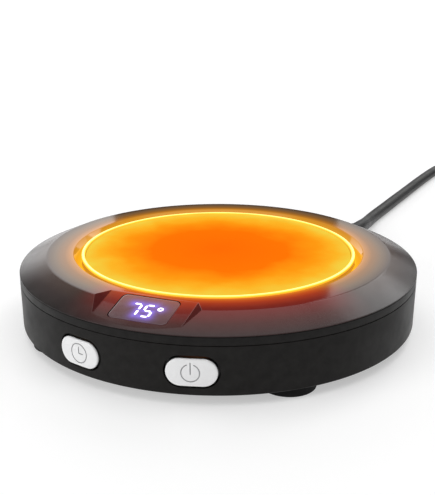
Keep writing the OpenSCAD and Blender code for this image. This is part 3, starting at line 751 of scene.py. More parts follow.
def digitMaterial():
    look = digitLook
    material = makeMaterial("digitWhite", look["colour"], 0.5)
    uneven = remap(material, noise(material, objectCoordinates(material), 0.6), *look["strength"])
    glow(material, look["glow"], uneven)
    return material


buttonLook = {
    "colour": (0.87, 0.87, 0.875),
    "tones": ((0.84, 0.84, 0.845), (0.9, 0.9, 0.905)),
    "roughness": (0.21, 0.29),
    "coat": 0.5,
    "coatRoughness": 0.12,
}


def buttonMaterial():
    # smooth white shell with a clear gloss
    look = buttonLook
    coat = {"coat": look["coat"], "coatRoughness": look["coatRoughness"]}
    material = makeMaterial("buttonWhite", look["colour"], 0.25, **coat)
    vector = objectCoordinates(material)
    feed(material, "Roughness", remap(material, noise(material, vector, 4.0), *look["roughness"]))
    feed(material, "Base Color", mixColours(material, noise(material, vector, 7.0), *look["tones"]))
    addBump(material, noise(material, vector, 0.5, 2.0), 0.0008)
    return material


boardLook = {
    "colour": (0.02, 0.13, 0.05),
    "coat": 0.4,
    "tracks": {
        "Scale": 0.35,
        "Mortar Size": 0.06,
        "Color1": (0.018, 0.12, 0.045),
        "Color2": (0.022, 0.15, 0.055),
        "Mortar": (0.06, 0.27, 0.09),
    },
}


def boardMaterial():
    # solder mask over copper tracks
    material = makeMaterial("boardGreen", boardLook["colour"], 0.35, coat=boardLook["coat"])
    tracks = addNode(material, "ShaderNodeTexBrick")
    for socket, value in {**boardLook["tracks"], "Vector": objectCoordinates(material)}.items():
        setOrLink(material, tracks.inputs[socket], value)
    feed(material, "Base Color", tracks.outputs["Color"])
    addBump(material, tracks.outputs["Fac"], 0.03)
    return material


feltLook = {
    "colour": (0.8, 0.78, 0.72),
    "fibres": ((0.84, 0.82, 0.76), (0.6, 0.57, 0.5)),
    "squeeze": (1, 6, 1),  # the fibres are this many times shorter along each axis
}


def feltMaterial():
    # insulation with fibres that lie across it
    look = feltLook
    material = makeMaterial("padWhite", look["colour"], 0.95)
    fibres = noise(material, objectCoordinates(material, look["squeeze"]), 1.2, 8.0, 0.8)
    feed(material, "Base Color", mixColours(material, fibres, *look["fibres"]))
    addBump(material, noise(material, objectCoordinates(material), 0.4, 6.0, 0.8), 0.15)
    return material


foilLook = {"amber": (0.5, 0.25, 0.05), "copper": (0.62, 0.36, 0.2), "pitch": 2.4}


def foilMaterial():
    # amber foil with an etched heating track
    look = foilLook
    material = makeMaterial("elementAmber", look["amber"], 0.25)
    track = stripes(material, radiusOf(material, objectCoordinates(material)), look["pitch"])
    etched = remap(material, track, 0, 1, 0.1, 0.3)
    feed(material, "Base Color", mixColours(material, etched, look["amber"], look["copper"]))
    feed(material, "Roughness", remap(material, track, 0.4, 0.2, 0.1, 0.3))
    addBump(material, etched, 0.03)
    return material


ribbonLook = {
    "colour": (0.45, 0.45, 0.48),
    "strands": ((0.12, 0.12, 0.13), (0.5, 0.5, 0.53)),  # painted shade in the grooves, and the strands' grey on top
    "pitch": 1.0,
}


def ribbonMaterial():
    # grey strands side by side, with painted shade darkening the grooves between them
    look = ribbonLook
    material = makeMaterial("ribbonGrey", look["colour"], 0.5)
    strands = stripes(material, splitAxes(material, objectCoordinates(material))["X"], look["pitch"])
    share = remap(material, strands, 0, 1, -1, -0.6)
    feed(material, "Base Color", mixColours(material, share, *look["strands"]))
    addBump(material, strands, 0.08)
    return material


casing = {"grain": 0.22, "bump": 0.006, "specular": 0.1}
rubber = {"grain": 0.3, "bump": 0.01, "specular": 0.1}
cable = {"grain": 0.3, "bump": 0.008}

# record slot: material name and what mouldedPlastic or metal takes
plastics = {
    "base_black": ("baseBlack", (0.0105, 0.0098, 0.0093), 0.42, casing),
    "gasket_red": ("gasketRed", (0.42, 0.07, 0.04), 0.6, {"grain": 0.4, "bump": 0.01}),
    "led_yellow": ("ledYellow", (0.9, 0.75, 0.35), 0.25, {"grain": 0.3, "bump": 0.003}),
    "sensor_black": ("sensorBlack", (0.03, 0.03, 0.032), 0.35, {}),
    "digit_white": ("digitBlock", (0.7, 0.72, 0.8), 0.3, {}),
    "plunger_black": ("plungerBlack", (0.03, 0.03, 0.03), 0.45, {}),
    "switch_grey": ("switchGrey", (0.08, 0.08, 0.09), 0.45, {}),
    "capacitor_yellow": ("capacitorYellow", (0.68, 0.46, 0.04), 0.3, {}),
    "capacitor_blue": ("capacitorBlue", (0.02, 0.04, 0.15), 0.25, {}),
    "chip_black": ("chipBlack", (0.018, 0.018, 0.02), 0.55, {}),
    "fuse_ceramic": ("fuseCeramic", (0.72, 0.69, 0.6), 0.3, {}),
    "socket_ivory": ("socketIvory", (0.8, 0.77, 0.66), 0.45, {}),
    "wire_white": ("wireWhite", (0.76, 0.75, 0.7), 0.5, {}),
    "wire_black": ("wireBlack", (0.025, 0.025, 0.025), 0.45, {}),
    "wire_blue": ("wireBlue", (0.03, 0.07, 0.33), 0.45, {}),
    "foot_rubber": ("footRubber", (0.006, 0.006, 0.006), 0.6, rubber),
    "clamp_black": ("clampBlack", (0.03, 0.03, 0.03), 0.5, {}),
    "cord_grey": ("cordGrey", (0.033, 0.033, 0.033), 0.5, {**cable, "specular": 0.25}),
    "relief_rubber": ("reliefRubber", (0.02, 0.02, 0.02), 0.52, {**cable, "specular": 0.3}),
    "plug_black": ("plugBlack", (0.02, 0.02, 0.02), 0.45, {"bump": 0.008, "specular": 0.3}),
}
metals = {
    "pressed_steel": ("pressedSteel", (0.56, 0.57, 0.59), 0.34, {"direction": (0.2, 1, 1)}),
    "screw_steel": ("screwSteel", (0.62, 0.62, 0.64), 0.28, {}),
    "screw_dark": ("screwDark", (0.09, 0.09, 0.1), 0.35, {}),
    "blade_brass": ("bladeNickel", (0.72, 0.68, 0.58), 0.22, {"direction": (1, 0.15, 1)}),
}
looks = {
    "cover_black": coverMaterial(),
    "plate_orange": plateMaterial(),
    "light_amber": lightMaterial(),
    "board_green": boardMaterial(),
    "element_amber": foilMaterial(),
    "pad_white": feltMaterial(),
    "lens_smoke": lensMaterial(),
    "button_white": buttonMaterial(),
    "ribbon_grey": ribbonMaterial(),
}
for maker, table in ((mouldedPlastic, plastics), (metal, metals)):
    for slot, (title, colour, roughness, extra) in table.items():
        looks[slot] = maker(title, colour, roughness, **extra)
digitGlow = digitMaterial()
notchSide = notchSideMaterial()
# painted shade: grey for the icons' grooves, darker than the white cap
grooveGrey = mouldedPlastic("grooveGrey", (0.36, 0.36, 0.37), 0.45)
print("materials made:", len(looks) + 3)


def paint(thing, material):
    thing.data.materials.clear()
    thing.data.materials.append(material)


def settle(thing, slot, replaced=(), body="housing", degrees=32):
    # the last step for each new piece: edges sharper than so many degrees stay sharp
    if degrees:
        shadeByAngle(thing, degrees)
    if not thing.data.materials:
        paint(thing, looks[slot])
    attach(thing, body)
    if replaced:
        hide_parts(*replaced)
    return thing


lead = {
    "diameter": 5.5,
    "length": 1267.0,
    "route": [
        (26.3, 80.9, 9), (27.8, 85.6, 9), (28.9, 92, 8.7), (29, 98, 7.9), (28.7, 105, 6.6),
        (28.1, 112, 5.2), (27.6, 119, 4), (27.4, 126, 3.2), (27.7, 133, 2.85), (28.4, 140, 2.75),
        (29.4, 148, 2.75), (30.8, 160, 2.75), (32.2, 172, 2.75), (33.7, 184, 2.75), (35.1, 196, 2.75),
        (36.5, 208, 2.75), (38, 220, 2.75), (39.6, 232, 2.75), (41.4, 244, 2.75), (44, 256, 2.75),
        (49, 268, 2.75), (56, 280, 2.75), (66, 291, 2.75), (78, 299, 2.75), (90, 303, 2.75),
    ],
    "coilCentre": (95, 265),
    "outerTurn": 39.0,
    "innerTurn": 22.5,
    "lowerTurns": 2.6,
    "riseTurns": 0.45,
    "lastTurn": 35.13,
    "endTurns": 5.236,
    "pointsPerTurn": 36,
    "tail": [(130, 258, 8.2), (130, 248, 7.9), (130, 238, 7.4), (130, 228, 7), (130, 214, 7)],
    "step": 2.2,
}


def coilPoints():
    # a flat spiral inwards, a rise to the second layer and a spiral outwards on top of the first
    c = lead
    d = c["diameter"]
    rise = c["lowerTurns"] + c["riseTurns"]
    points = []
    count = round(c["endTurns"] * c["pointsPerTurn"])
    for k in range(count + 1):
        t = c["endTurns"] * k / count
        if t < c["lowerTurns"]:
            r = c["outerTurn"] + (c["innerTurn"] - c["outerTurn"]) * t / c["lowerTurns"]
            z = d / 2
        elif t < rise:
            share = (t - c["lowerTurns"]) / c["riseTurns"]
            r = c["innerTurn"]
            z = d / 2 + d * share * share * (3 - 2 * share)
        else:
            r = c["innerTurn"] + (c["lastTurn"] - c["innerTurn"]) * ((t - rise) / (c["endTurns"] - rise))
            z = 1.5 * d
        a = math.radians(90 - 360 * t)
        points.append((c["coilCentre"][0] + r * math.cos(a), c["coilCentre"][1] + r * math.sin(a), z))
    return points


def smoothPath(points, step):
    # Catmull-Rom curve through the points, resampled at an even step
    p = np.array(points, float)
    p = np.vstack([2 * p[0] - p[1], p, 2 * p[-1] - p[-2]])
    fine = []
    for k in range(1, len(p) - 2):
        a, b, c, d = p[k - 1], p[k], p[k + 1], p[k + 2]
        for t in np.linspace(0, 1, 12, endpoint=False):
            square = (2 * a - 5 * b + 4 * c - d) * t**2
            cube = (3 * b - a - 3 * c + d) * t**3
            fine.append(0.5 * (2 * b + (c - a) * t + square + cube))
    fine.append(p[-2])
    fine = np.array(fine)
    along = np.concatenate([[0], np.cumsum(np.linalg.norm(np.diff(fine, axis=0), axis=1))])
    marks = np.linspace(0, along[-1], round(along[-1] / step) + 1)
    return np.stack([np.interp(marks, along, fine[:, k]) for k in range(3)], axis=1), along[-1]


def makeLead():
    path, total = smoothPath(lead["route"] + coilPoints() + lead["tail"], lead["step"])
    print("lead length", round(total, 1), "mm")
    made = tube("mains_lead", path * mm, lead["diameter"] / 2 * mm, 16)
    made.data.shade_smooth()
    settle(made, "cord_grey", ("cord_lead", "cord_coil", "cord_tail"), degrees=None)
    return made, path * mm


mainsLead, leadPath = makeLead()


def newTree(name, inputs):
    # inputs are (name, kind); geometry goes in and comes out
    tree = bpy.data.node_groups.new(name, "GeometryNodeTree")
    tree.interface.new_socket("Geometry", in_out="INPUT", socket_type="NodeSocketGeometry")
    tree.interface.new_socket("Geometry", in_out="OUTPUT", socket_type="NodeSocketGeometry")
    for title, kind in inputs:
        tree.interface.new_socket(title, in_out="INPUT", socket_type="NodeSocket" + kind)
    return tree, tree.nodes.new("NodeGroupInput"), tree.nodes.new("NodeGroupOutput")


def treeNode(tree, kind, values=None, **settings):
    node = tree.nodes.new(kind)
    for key, value in settings.items():
        setattr(node, key, value)
    for key, value in (values or {}).items():
        if isinstance(value, bpy.types.NodeSocket):
            tree.links.new(value, node.inputs[key])
        else:
            node.inputs[key].default_value = value
    return node


def endTree(tree, geometry, material, output):
    # instances become real faces with one material
    real = treeNode(tree, "GeometryNodeRealizeInstances", {"Geometry": geometry})
    dressed = treeNode(tree, "GeometryNodeSetMaterial", {"Geometry": real.outputs[0], "Material": material})
    tree.links.new(dressed.outputs[0], output.inputs[0])


def runTree(thing, tree, values):
    # inputs are set by their identifiers before the object is first evaluated
    modifier = thing.modifiers.new("nodes", "NODES")
    modifier.node_group = tree
    for socket in tree.interface.items_tree:
        if socket.item_type == "SOCKET" and socket.in_out == "INPUT" and socket.name in values:
            modifier[socket.identifier] = values[socket.name]
    bakeModifiers(thing)
    paint(thing, values["Material"])
    bpy.data.node_groups.remove(tree)


def makeCopies(name, piece, places, material, mostTurn=0.0, seed=1):
    # a copy of one piece at each place, each turned by its own random angle about Z
    values = {"Piece": piece, "Most Turn": mostTurn, "Seed": seed, "Material": material}
    tree, start, end = newTree("copiesAtPoints", zip(values, ("Object", "Float", "Int", "Material")))
    given = start.outputs
    source = treeNode(tree, "GeometryNodeObjectInfo", {"Object": given["Piece"]})
    limits = {"Min": 0.0, "Max": given["Most Turn"], "Seed": given["Seed"]}
    turn = treeNode(tree, "FunctionNodeRandomValue", limits, data_type="FLOAT")
    rotation = treeNode(tree, "ShaderNodeCombineXYZ", {"Z": next(s for s in turn.outputs if s.enabled)})
    copies = {"Points": given["Geometry"], "Instance": source.outputs["Geometry"]}
    copies["Rotation"] = rotation.outputs[0]
    placed = treeNode(tree, "GeometryNodeInstanceOnPoints", copies)
    endTree(tree, placed.outputs[0], given["Material"], end)
    made = newObject(name, places, [])
    runTree(made, tree, values)
    removeObject(piece)
    return made


def aroundAxis(angles, pitch):
    # points at one distance from the housing's axis, at height 0
    turns = [math.radians(a) for a in angles]
    return [Vector((pitch * math.cos(a), pitch * math.sin(a), 0)) * mm for a in turns]


def uprightAt(x, y):
    return lambda u, v, w: Vector((x + u, y + v, w)) * mm


def uprightRods(angles, pitch, radius, low, high, sides=40):
    # upright cylinders around the housing's axis
    places = [uprightAt(*(v.xy / mm)) for v in aroundAxis(angles, pitch)]
    return [rod("rod", radius, low, high, place, sides) for place in places]


cover = {
    "bevelCrease": 0.13,  # softness of the crease between the flat ring and the bevel
    "notchCrease": 0.06,
    "footEdge": 0.1,  # rounding where the bevel meets the lip
    "lineZ": 19.98,  # fine groove round the top of the lip
    "lineHalf": 0.12,
    "lineDepth": 0.2,
    "lipEdge": 0.12,
    "throatEdge": 0.3,
    "underZ": 21.9,
    "underReach": 55.7,
    "underRows": 26,
    "underEdge": 0.3,
    "collarOuter": 47.4,
    "collarZ": 19.4,
    "collarEdge": 0.1,
    "tongueOuter": 62.85,
    "tongueInner": 61.65,
    "tongueZ": 15.3,
    "tongueTopZ": 19.9,
    "tongueEdge": 0.15,
    "thickness": 2.3,
    "fineStep": 0.16,  # spacing of the rows across the notch
    "fineHalfAngle": 19.0,  # degrees to each side of the front
    "fineAngle": 0.16,
    "coarseAngle": 2.0,
    "bossAngles": (45, 135, 225, 315),
    "bossRadius": 2.6,
    "bossPitch": 52.6,
    "bossZ": 17.9,
    "postRadius": 2.8,
    "postZ": 9.0,
    "rodEnds": (0.6, 1.2),  # how far bosses and posts reach into the shell
    "sideTilt": 0.17,  # least sideways part of the normal on the notch's sides
}

screw = {
    "angles": (25, 155, 205, 335),
    "pitch": 58.6,
    "headRadius": 2.6,
    "headHeight": 1.4,
    "headZ": 3.3,
    "recessRadius": 2.9,
    "shankRadius": 1.35,
    "shankEndZ": 17.3,
    "headEdge": 0.5,
    "tipEdge": 0.3,
    "crossSize": (1.24, 0.26),  # length and width of its slots as shares of the head's radius
    "mostTurn": 90.0,  # degrees
    "seed": 4,
}

foot = {
    "angles": (48, 132, 228, 312),
    "pitch": 55.4,
    "radius": 8.2,
    "top": 3.8,
    "seatRadius": 8.3,
    "edge": 0.35,
    "hollowRadius": 5.2,  # shallow hollow in the underside
    "hollowDepth": 0.35,
    "hollowSlope": 0.4,
    "topEdge": 0.2,
}


def softMin(a, b, softness):
    blend = np.maximum(softness - np.abs(a - b), 0) / softness
    return np.minimum(a, b) - blend * blend * softness / 4


def coverHeight(x, y):
    # height of the cover's outside over a point, with the notch cut into its round shape
    slope = (housing["topZ"] - housing["bevelZ"]) / (housing["radius"] - housing["ringRadius"])
    bevel = housing["bevelZ"] + (housing["radius"] - np.hypot(x, y)) * slope
    shell = softMin(np.full_like(bevel, housing["topZ"]), bevel, cover["bevelCrease"])
    tilt = math.radians(notch["slope"])
    ramp = housing["topZ"] + (y - notch["innerEnd"]) * math.tan(tilt)
    rise = math.tan(math.radians(notch["sideSlope"])) / math.cos(tilt)
    side = ramp + (np.abs(x) - notch["width"] / 2) * rise
    notchShape = -softMin(-ramp, -side, cover["notchCrease"])
    notchShape = np.where(y < 0, notchShape, 1000.0)
    return softMin(shell, notchShape, cover["notchCrease"])


def coverAngles():
    # angles from the front, close together across the notch
    half = cover["fineHalfAngle"]
    fine = np.arange(-half, half + 1e-6, cover["fineAngle"])
    rest = np.arange(fine[-1] + cover["coarseAngle"], 360 - half - 0.5, cover["coarseAngle"])
    return np.radians(np.concatenate([fine, rest]))


def coverRows():
    # rows of (r, z, kind): fixed rows lie at z, outside rows on the height that coverHeight gives and
    # inside rows below it
    c, h = cover, housing
    back = 4.0  # the part of the bevel that the first corner is measured with
    rise = back * (h["topZ"] - h["bevelZ"]) / (h["radius"] - h["ringRadius"])
    outer = filleted(
        [
            (h["radius"] - back, h["bevelZ"] + rise, 0),
            (h["radius"], h["bevelZ"], c["footEdge"]),
            (h["radius"], c["lineZ"] + c["lineHalf"], 0),
            (h["radius"] - c["lineDepth"], c["lineZ"], 0),
            (h["radius"], c["lineZ"] - c["lineHalf"], 0),
            (h["radius"], h["lipZ"], c["lipEdge"]),
            (c["tongueOuter"], h["lipZ"], 0.1),
            (c["tongueOuter"], c["tongueZ"], c["tongueEdge"]),
            (c["tongueInner"], c["tongueZ"], c["tongueEdge"]),
            (c["tongueInner"], c["tongueTopZ"], 0),
        ]
    )[1:]
    inner = filleted(
        [
            (c["underReach"], c["underZ"], 0),
            (c["collarOuter"], c["underZ"], c["underEdge"]),
            (c["collarOuter"], c["collarZ"], c["collarEdge"]),
            (h["throatRadius"], c["collarZ"], c["collarEdge"]),
            (h["throatRadius"], h["throatZ"], 0.3),
            (h["recessRadius"], h["topZ"], c["throatEdge"]),
            (h["recessRadius"] + 0.5, h["topZ"], 0),
        ]
    )[1:-1]
    fine = np.arange(h["recessRadius"] + 0.7, outer[0][0] - 0.1, c["fineStep"])
    under = np.linspace(c["tongueInner"] - 0.3, c["collarOuter"] + 1.0, c["underRows"])
    rows = [(r, z, "fixed") for r, z in inner]
    rows += [(r, 0, "outside") for r in fine]
    rows += [(r, z, "fixed") for r, z in outer]
    rows += [(r, 0, "inside") for r in under]
    return rows


def makeCoverShell():
    angles = coverAngles()
    rows = coverRows()
    verts = []
    for r, z, kind in rows:
        x, y = r * np.sin(angles), -r * np.cos(angles)
        heights = np.full_like(x, z) if kind == "fixed" else coverHeight(x, y)
        if kind == "inside":
            reach = np.clip((r - cover["underReach"]) / (cover["tongueInner"] - cover["underReach"]), 0, 1)
            ceiling = cover["underZ"] + (cover["tongueTopZ"] - cover["underZ"]) * reach
            heights = np.minimum(ceiling, heights - cover["thickness"])
        verts += list(zip(x * mm, y * mm, heights * mm))
    return newSolid("cover_shell", verts, gridFaces(len(rows), len(angles), closed=True))


def coverFinish(face):
    # number of the material: 1 (satin) on the lip and in the lens's pocket, 2 (dull, with painted red light)
    # on the notch's sides
    middle, way = face.center, face.normal
    lipTop = cover["lineZ"] + cover["lineHalf"] + 0.01
    if middle.xy.length > (housing["radius"] - 0.5) * mm and middle.z < lipTop * mm:
        return 1
    if insidePocket(middle):
        return 1
    leans = way.z > 0.5 and way.x * middle.x < 0 and abs(way.x) > cover["sideTilt"]
    return 2 if leans and middle.y < notch["innerEnd"] * mm else 0


def makeCover():
    c, p = cover, lens
    made = makeCoverShell()
    paint(made, looks["cover_black"])
    intoRing, intoBevel = c["rodEnds"]
    bosses = (c["bossRadius"], c["bossZ"], c["underZ"] + intoRing)
    posts = (c["postRadius"], c["postZ"], housing["bevelZ"] + intoBevel)
    rods = uprightRods(c["bossAngles"], c["bossPitch"], *bosses)
    combine(made, rods + uprightRods(screw["angles"], screw["pitch"], *posts), "UNION")
    gap = p["gap"]
    pocket = (p["width"] + 2 * gap, p["length"] + 2 * gap, p["radius"] + gap, -p["thickness"])
    window = (p["windowWidth"], p["windowLength"], p["windowRadius"], -p["windowDepth"])
    cutters = [loft("cutter", [shape, (*shape[:3], p["cutterTop"])], onRamp) for shape in (pocket, window)]
    combine(made, cutters, "DIFFERENCE")
    tidyMesh(made)
    made.data.materials.append(looks["base_black"])
    made.data.materials.append(notchSide)
    for face in made.data.polygons:
        face.material_index = coverFinish(face)
    return settle(made, "cover_black", ("top_cover",))


makeCover()
print("cover made")


base = {
    "footRadius": 64.9,
    "chamfer": 0.3,
    "innerRadius": 63.0,
    "floorZ": 5.0,
    "edge": 0.12,
    "innerEdge": 0.8,
    "outerEdge": 0.2,
    "grooveRadius": 31.0,
    "grooveWidth": 1.2,
    "grooveDepth": 0.3,
    "bossRadius": 3.4,
    "bossEnds": (4.5, 9.0),
    "cutFrom": 2.0,  # where the cutters from below start
    "holeTop": 12.0,
    "holeGap": 0.2,
    "rimFlare": (  # (distance from the axis, growth of the opening)
        (58, 0), (64.85, 0), (64.95, 0.04), (65.05, 0.12), (65.3, 0.4),
    ),
    "sides": 288,
}


def keyOpening(side):
    # the opening follows the wall's curve and its rim is rounded outwards
    width, height = button["width"] + 2 * button["gap"], button["height"] + 2 * button["gap"]
    sections = [(width + 2 * f, height + 2 * f, height / 2 + f, w) for w, f in base["rimFlare"]]
    return loft("opening", sections, onWall(side), 12, 8, strip=True)


def makeBase():
    b, h, q = base, housing, screw
    footZ, grooveZ = h["footHeight"], h["footHeight"] + b["grooveDepth"]
    profile = filleted(
        [
            (0, b["floorZ"], 0),
            (b["innerRadius"], b["floorZ"], b["innerEdge"]),
            (b["innerRadius"], h["baseTop"], b["outerEdge"]),
            (h["radius"], h["baseTop"], b["edge"]),
            (b["footRadius"], footZ + b["chamfer"], b["outerEdge"]),
            (b["footRadius"] - b["chamfer"], footZ, b["outerEdge"]),
            (b["grooveRadius"], footZ, 0.1),
            (b["grooveRadius"], grooveZ, 0.05),
            (b["grooveRadius"] - b["grooveWidth"], grooveZ, 0.05),
            (b["grooveRadius"] - b["grooveWidth"], footZ, 0.1),
            (0, footZ, 0),
        ]
    )
    made = lathe("base_body", profile, b["sides"], closed=False)
    paint(made, looks["base_black"])
    combine(made, uprightRods(q["angles"], q["pitch"], b["bossRadius"], *b["bossEnds"]), "UNION")
    cutters = [keyOpening(side) for side in (-1, 1)]
    cutters.append(rod("hole", outlet["holeRadius"], *outlet["holeEnds"], alongOutlet))
    headTop = q["headZ"] + q["headHeight"]
    for angle in q["angles"]:
        hole = (q["shankRadius"] + b["holeGap"], b["cutFrom"], b["holeTop"], 32)
        recess = (q["recessRadius"], b["cutFrom"], headTop, 48)
        for shape in (hole, recess):
            cutters += uprightRods([angle], q["pitch"], *shape)
    cutters += uprightRods(foot["angles"], foot["pitch"], foot["seatRadius"], b["cutFrom"], foot["top"], 72)
    combine(made, cutters, "DIFFERENCE")
    tidyMesh(made)
    return settle(made, "base_black", ("base_shell",))


makeBase()
print("base made")


plate = {
    "radius": 43.8,
    "topZ": 23.3,
    "bottomZ": 21.3,
    "skirt": 2.0,
    "brimRadius": 48.6,
    "brimTop": 16.9,
    "brimBottom": 15.9,
    "grooves": (12.0, 24.0, 36.0),  # radii of the fine turned rings on top
    "grooveDepth": 0.06,
    "grooveHalf": 0.25,
    "grooveEdge": 0.15,
    "edge": 0.45,
    "brimEdge": 0.1,
    "lugRadius": 3.2,
    "sides": 256,
}


def makePlate():
    p = plate
    top = [(0, p["topZ"], 0)]
    for r in p["grooves"]:
        for aside, depth in ((-1, 0), (0, p["grooveDepth"]), (1, 0)):
            top.append((r + aside * p["grooveHalf"], p["topZ"] - depth, p["grooveEdge"]))
    under = [
        (p["radius"], p["topZ"], p["edge"]),
        (p["radius"], p["brimTop"], 0.2),
        (p["brimRadius"], p["brimTop"], p["brimEdge"]),
        (p["brimRadius"], p["brimBottom"], p["brimEdge"]),
        (p["radius"] - p["skirt"], p["brimBottom"], p["brimEdge"]),
        (p["radius"] - p["skirt"], p["bottomZ"], 0.3),
        (0, p["bottomZ"], 0),
    ]
    made = lathe("plate_disc", filleted(top + under), p["sides"], closed=False)
    brim = (p["brimBottom"], p["brimTop"])
    combine(made, uprightRods(cover["bossAngles"], cover["bossPitch"], p["lugRadius"], *brim), "UNION")
    tidyMesh(made)
    return settle(made, "plate_orange", ("heating_plate",))


def makeLightRing():
    q = lightRing
    profile = filleted(
        [
            (q["inner"], q["flangeBottom"], 0),
            (q["flangeRadius"], q["flangeBottom"], q["flangeEdge"]),
            (q["flangeRadius"], q["flangeTop"], q["flangeEdge"]),
            (q["outer"], q["flangeTop"], q["flangeEdge"]),
            (q["outer"], q["topZ"], q["edge"]),
            (q["inner"], q["topZ"], q["edge"]),
        ]
    )
    return settle(lathe("light_guide", profile, q["sides"]), "light_amber", ("light_ring",))


makePlate()
makeLightRing()
print("plate and light ring made")


digits = {
    "height": 5.3,  # between the centre lines of the top and bottom bars
    "width": 2.4,
    "stroke": 0.68,
    "gap": 0.2,  # left between two bars that meet
    "middle": -0.7,  # up the slope from the lens's middle
    "places": (-2.6, 1.4),
    "bars": ("abc", "afgcd"),  # seven and five
    "degreeAt": (4.6, 0.85),
    "degreeRadius": 0.62,
    "degreeStroke": 0.45,
    "degreeSides": 28,
    "proud": 0.03,
    "sunk": 0.2,
    # size and fall-off of the painted glow round the digits
    "paintedHaloReach": 1.25,
    "paintedHaloPower": 1.4,
}


def barLines():
    # centre lines of the lit bars in the lens's own frame
    half, w = digits["height"] / 2, digits["width"] / 2
    bars = {
        "a": ((-w, half), (w, half)),
        "b": ((w, half), (w, 0)),
        "c": ((w, 0), (w, -half)),
        "d": ((-w, -half), (w, -half)),
        "e": ((-w, 0), (-w, -half)),
        "f": ((-w, half), (-w, 0)),
        "g": ((-w, 0), (w, 0)),
    }
    lines = []
    for x, lit in zip(digits["places"], digits["bars"]):
        for key in lit:
            lines.append([Vector((x + u, digits["middle"] + v)) for u, v in bars[key]])
    return lines


def makeDigits():
    verts, faces = [], []
    top = lens["proud"] + digits["proud"]
    bottom = lens["proud"] - digits["sunk"]
    half = digits["stroke"] / 2
    for start, end in barLines():
        along = (end - start).normalized()
        across = Vector((-along.y, along.x))
        a, b = start + along * digits["gap"], end - along * digits["gap"]
        shape = [a, a + (along + across) * half, b + (across - along) * half, b]
        shape += [b - (along + across) * half, a + (along - across) * half]
        first = len(verts)
        verts += [onRamp(p.x, p.y, w) for w in (bottom, top) for p in shape]
        prism = [[5, 4, 3, 2, 1, 0], [6, 7, 8, 9, 10, 11]] + gridFaces(2, 6)
        faces += [[first + k for k in face] for face in prism]
    bars = newObject("lit_digits", verts, faces)
    x, y = digits["degreeAt"]
    outer, inner = (digits["degreeRadius"] + way * digits["degreeStroke"] / 2 for way in (1, -1))
    spots = circle(digits["degreeSides"])
    verts = []
    for r, w in ((outer, bottom), (outer, top), (inner, top), (inner, bottom)):
        verts += [onRamp(x + r * c, y + r * s, w) for c, s in spots]
    made = joinAll([bars, newObject("degree", verts, gridFaces(4, len(spots), closed=True))])
    tidyMesh(made)
    paint(made, digitGlow)
    return settle(made, "digit_white", degrees=None)


def paintedHaloAt(here, lines):
    # strength of the painted glow round the digits at a point of the lens's own frame
    near = (here - Vector(digits["degreeAt"])).length
    for start, end in lines:
        t = max(0, min(1, (here - start).dot(end - start) / (end - start).length_squared))
        near = min(near, (here - start - (end - start) * t).length)
    return math.exp(-((near / digits["paintedHaloReach"]) ** digits["paintedHaloPower"]))


def makeLens():
    p = lens
    width, length, radius, back = p["width"], p["length"], p["radius"], p["backEdge"]
    sections = [(width - 2 * back, length - 2 * back, radius, -p["thickness"])]
    sections.append((width, length, radius, back - p["thickness"]))
    sections += roundedEnd(width, length, radius, p["proud"], 2 * p["edge"], p["edge"], p["edgeSteps"])
    width, length = width - 2 * p["edge"], length - 2 * p["edge"]
    for k in range(1, p["rings"]):
        share = 1 - k / p["rings"]
        sections.append((width - length * (1 - share), length * share, radius * share, p["proud"]))
    made = loft("display_window", sections, onRamp, 8, 14)
    lines = barLines()
    # the painted glow's strength at each point, read by the lens material
    halo = made.data.attributes.new("halo", "FLOAT", "POINT")
    tilt = math.radians(notch["slope"])
    for k, vert in enumerate(made.data.vertices):
        here = vert.co / mm
        down = (notch["innerEnd"] - here.y) * math.cos(tilt) + (housing["topZ"] - here.z) * math.sin(tilt)
        halo.data[k].value = paintedHaloAt(Vector((here.x, lens["middle"] - down)), lines)
    return settle(made, "lens_smoke", ("display_lens",))


makeLens()
makeDigits()
print("display made")


key = {
    "flangeWidth": 16.7,
    "flangeHeight": 8.8,
    "flangeRadius": 1.0,
    "flangeThickness": 1.8,
    "stemRadius": 2.0,
    "stemEnd": 58.2,
    "edgeSteps": 6,
    "edgeDepth": 0.75,  # of the rounded edge, as a share of its width
    "paintedShadeRadius": 64.9,  # the cap's sides further in are painted black: painted shade for the gap round the white cap
}


def roundEnd(tip, inner, half):
    # points of a half circle beyond the tip, on its left and on its right
    d = (tip - inner).normalized()
    n = Vector((-d.y, d.x))
    turns = [math.radians(a) for a in (30, 60)]
    return [[tip + (n * way * math.cos(a) + d * math.sin(a)) * half for a in turns] for way in (1, -1)]


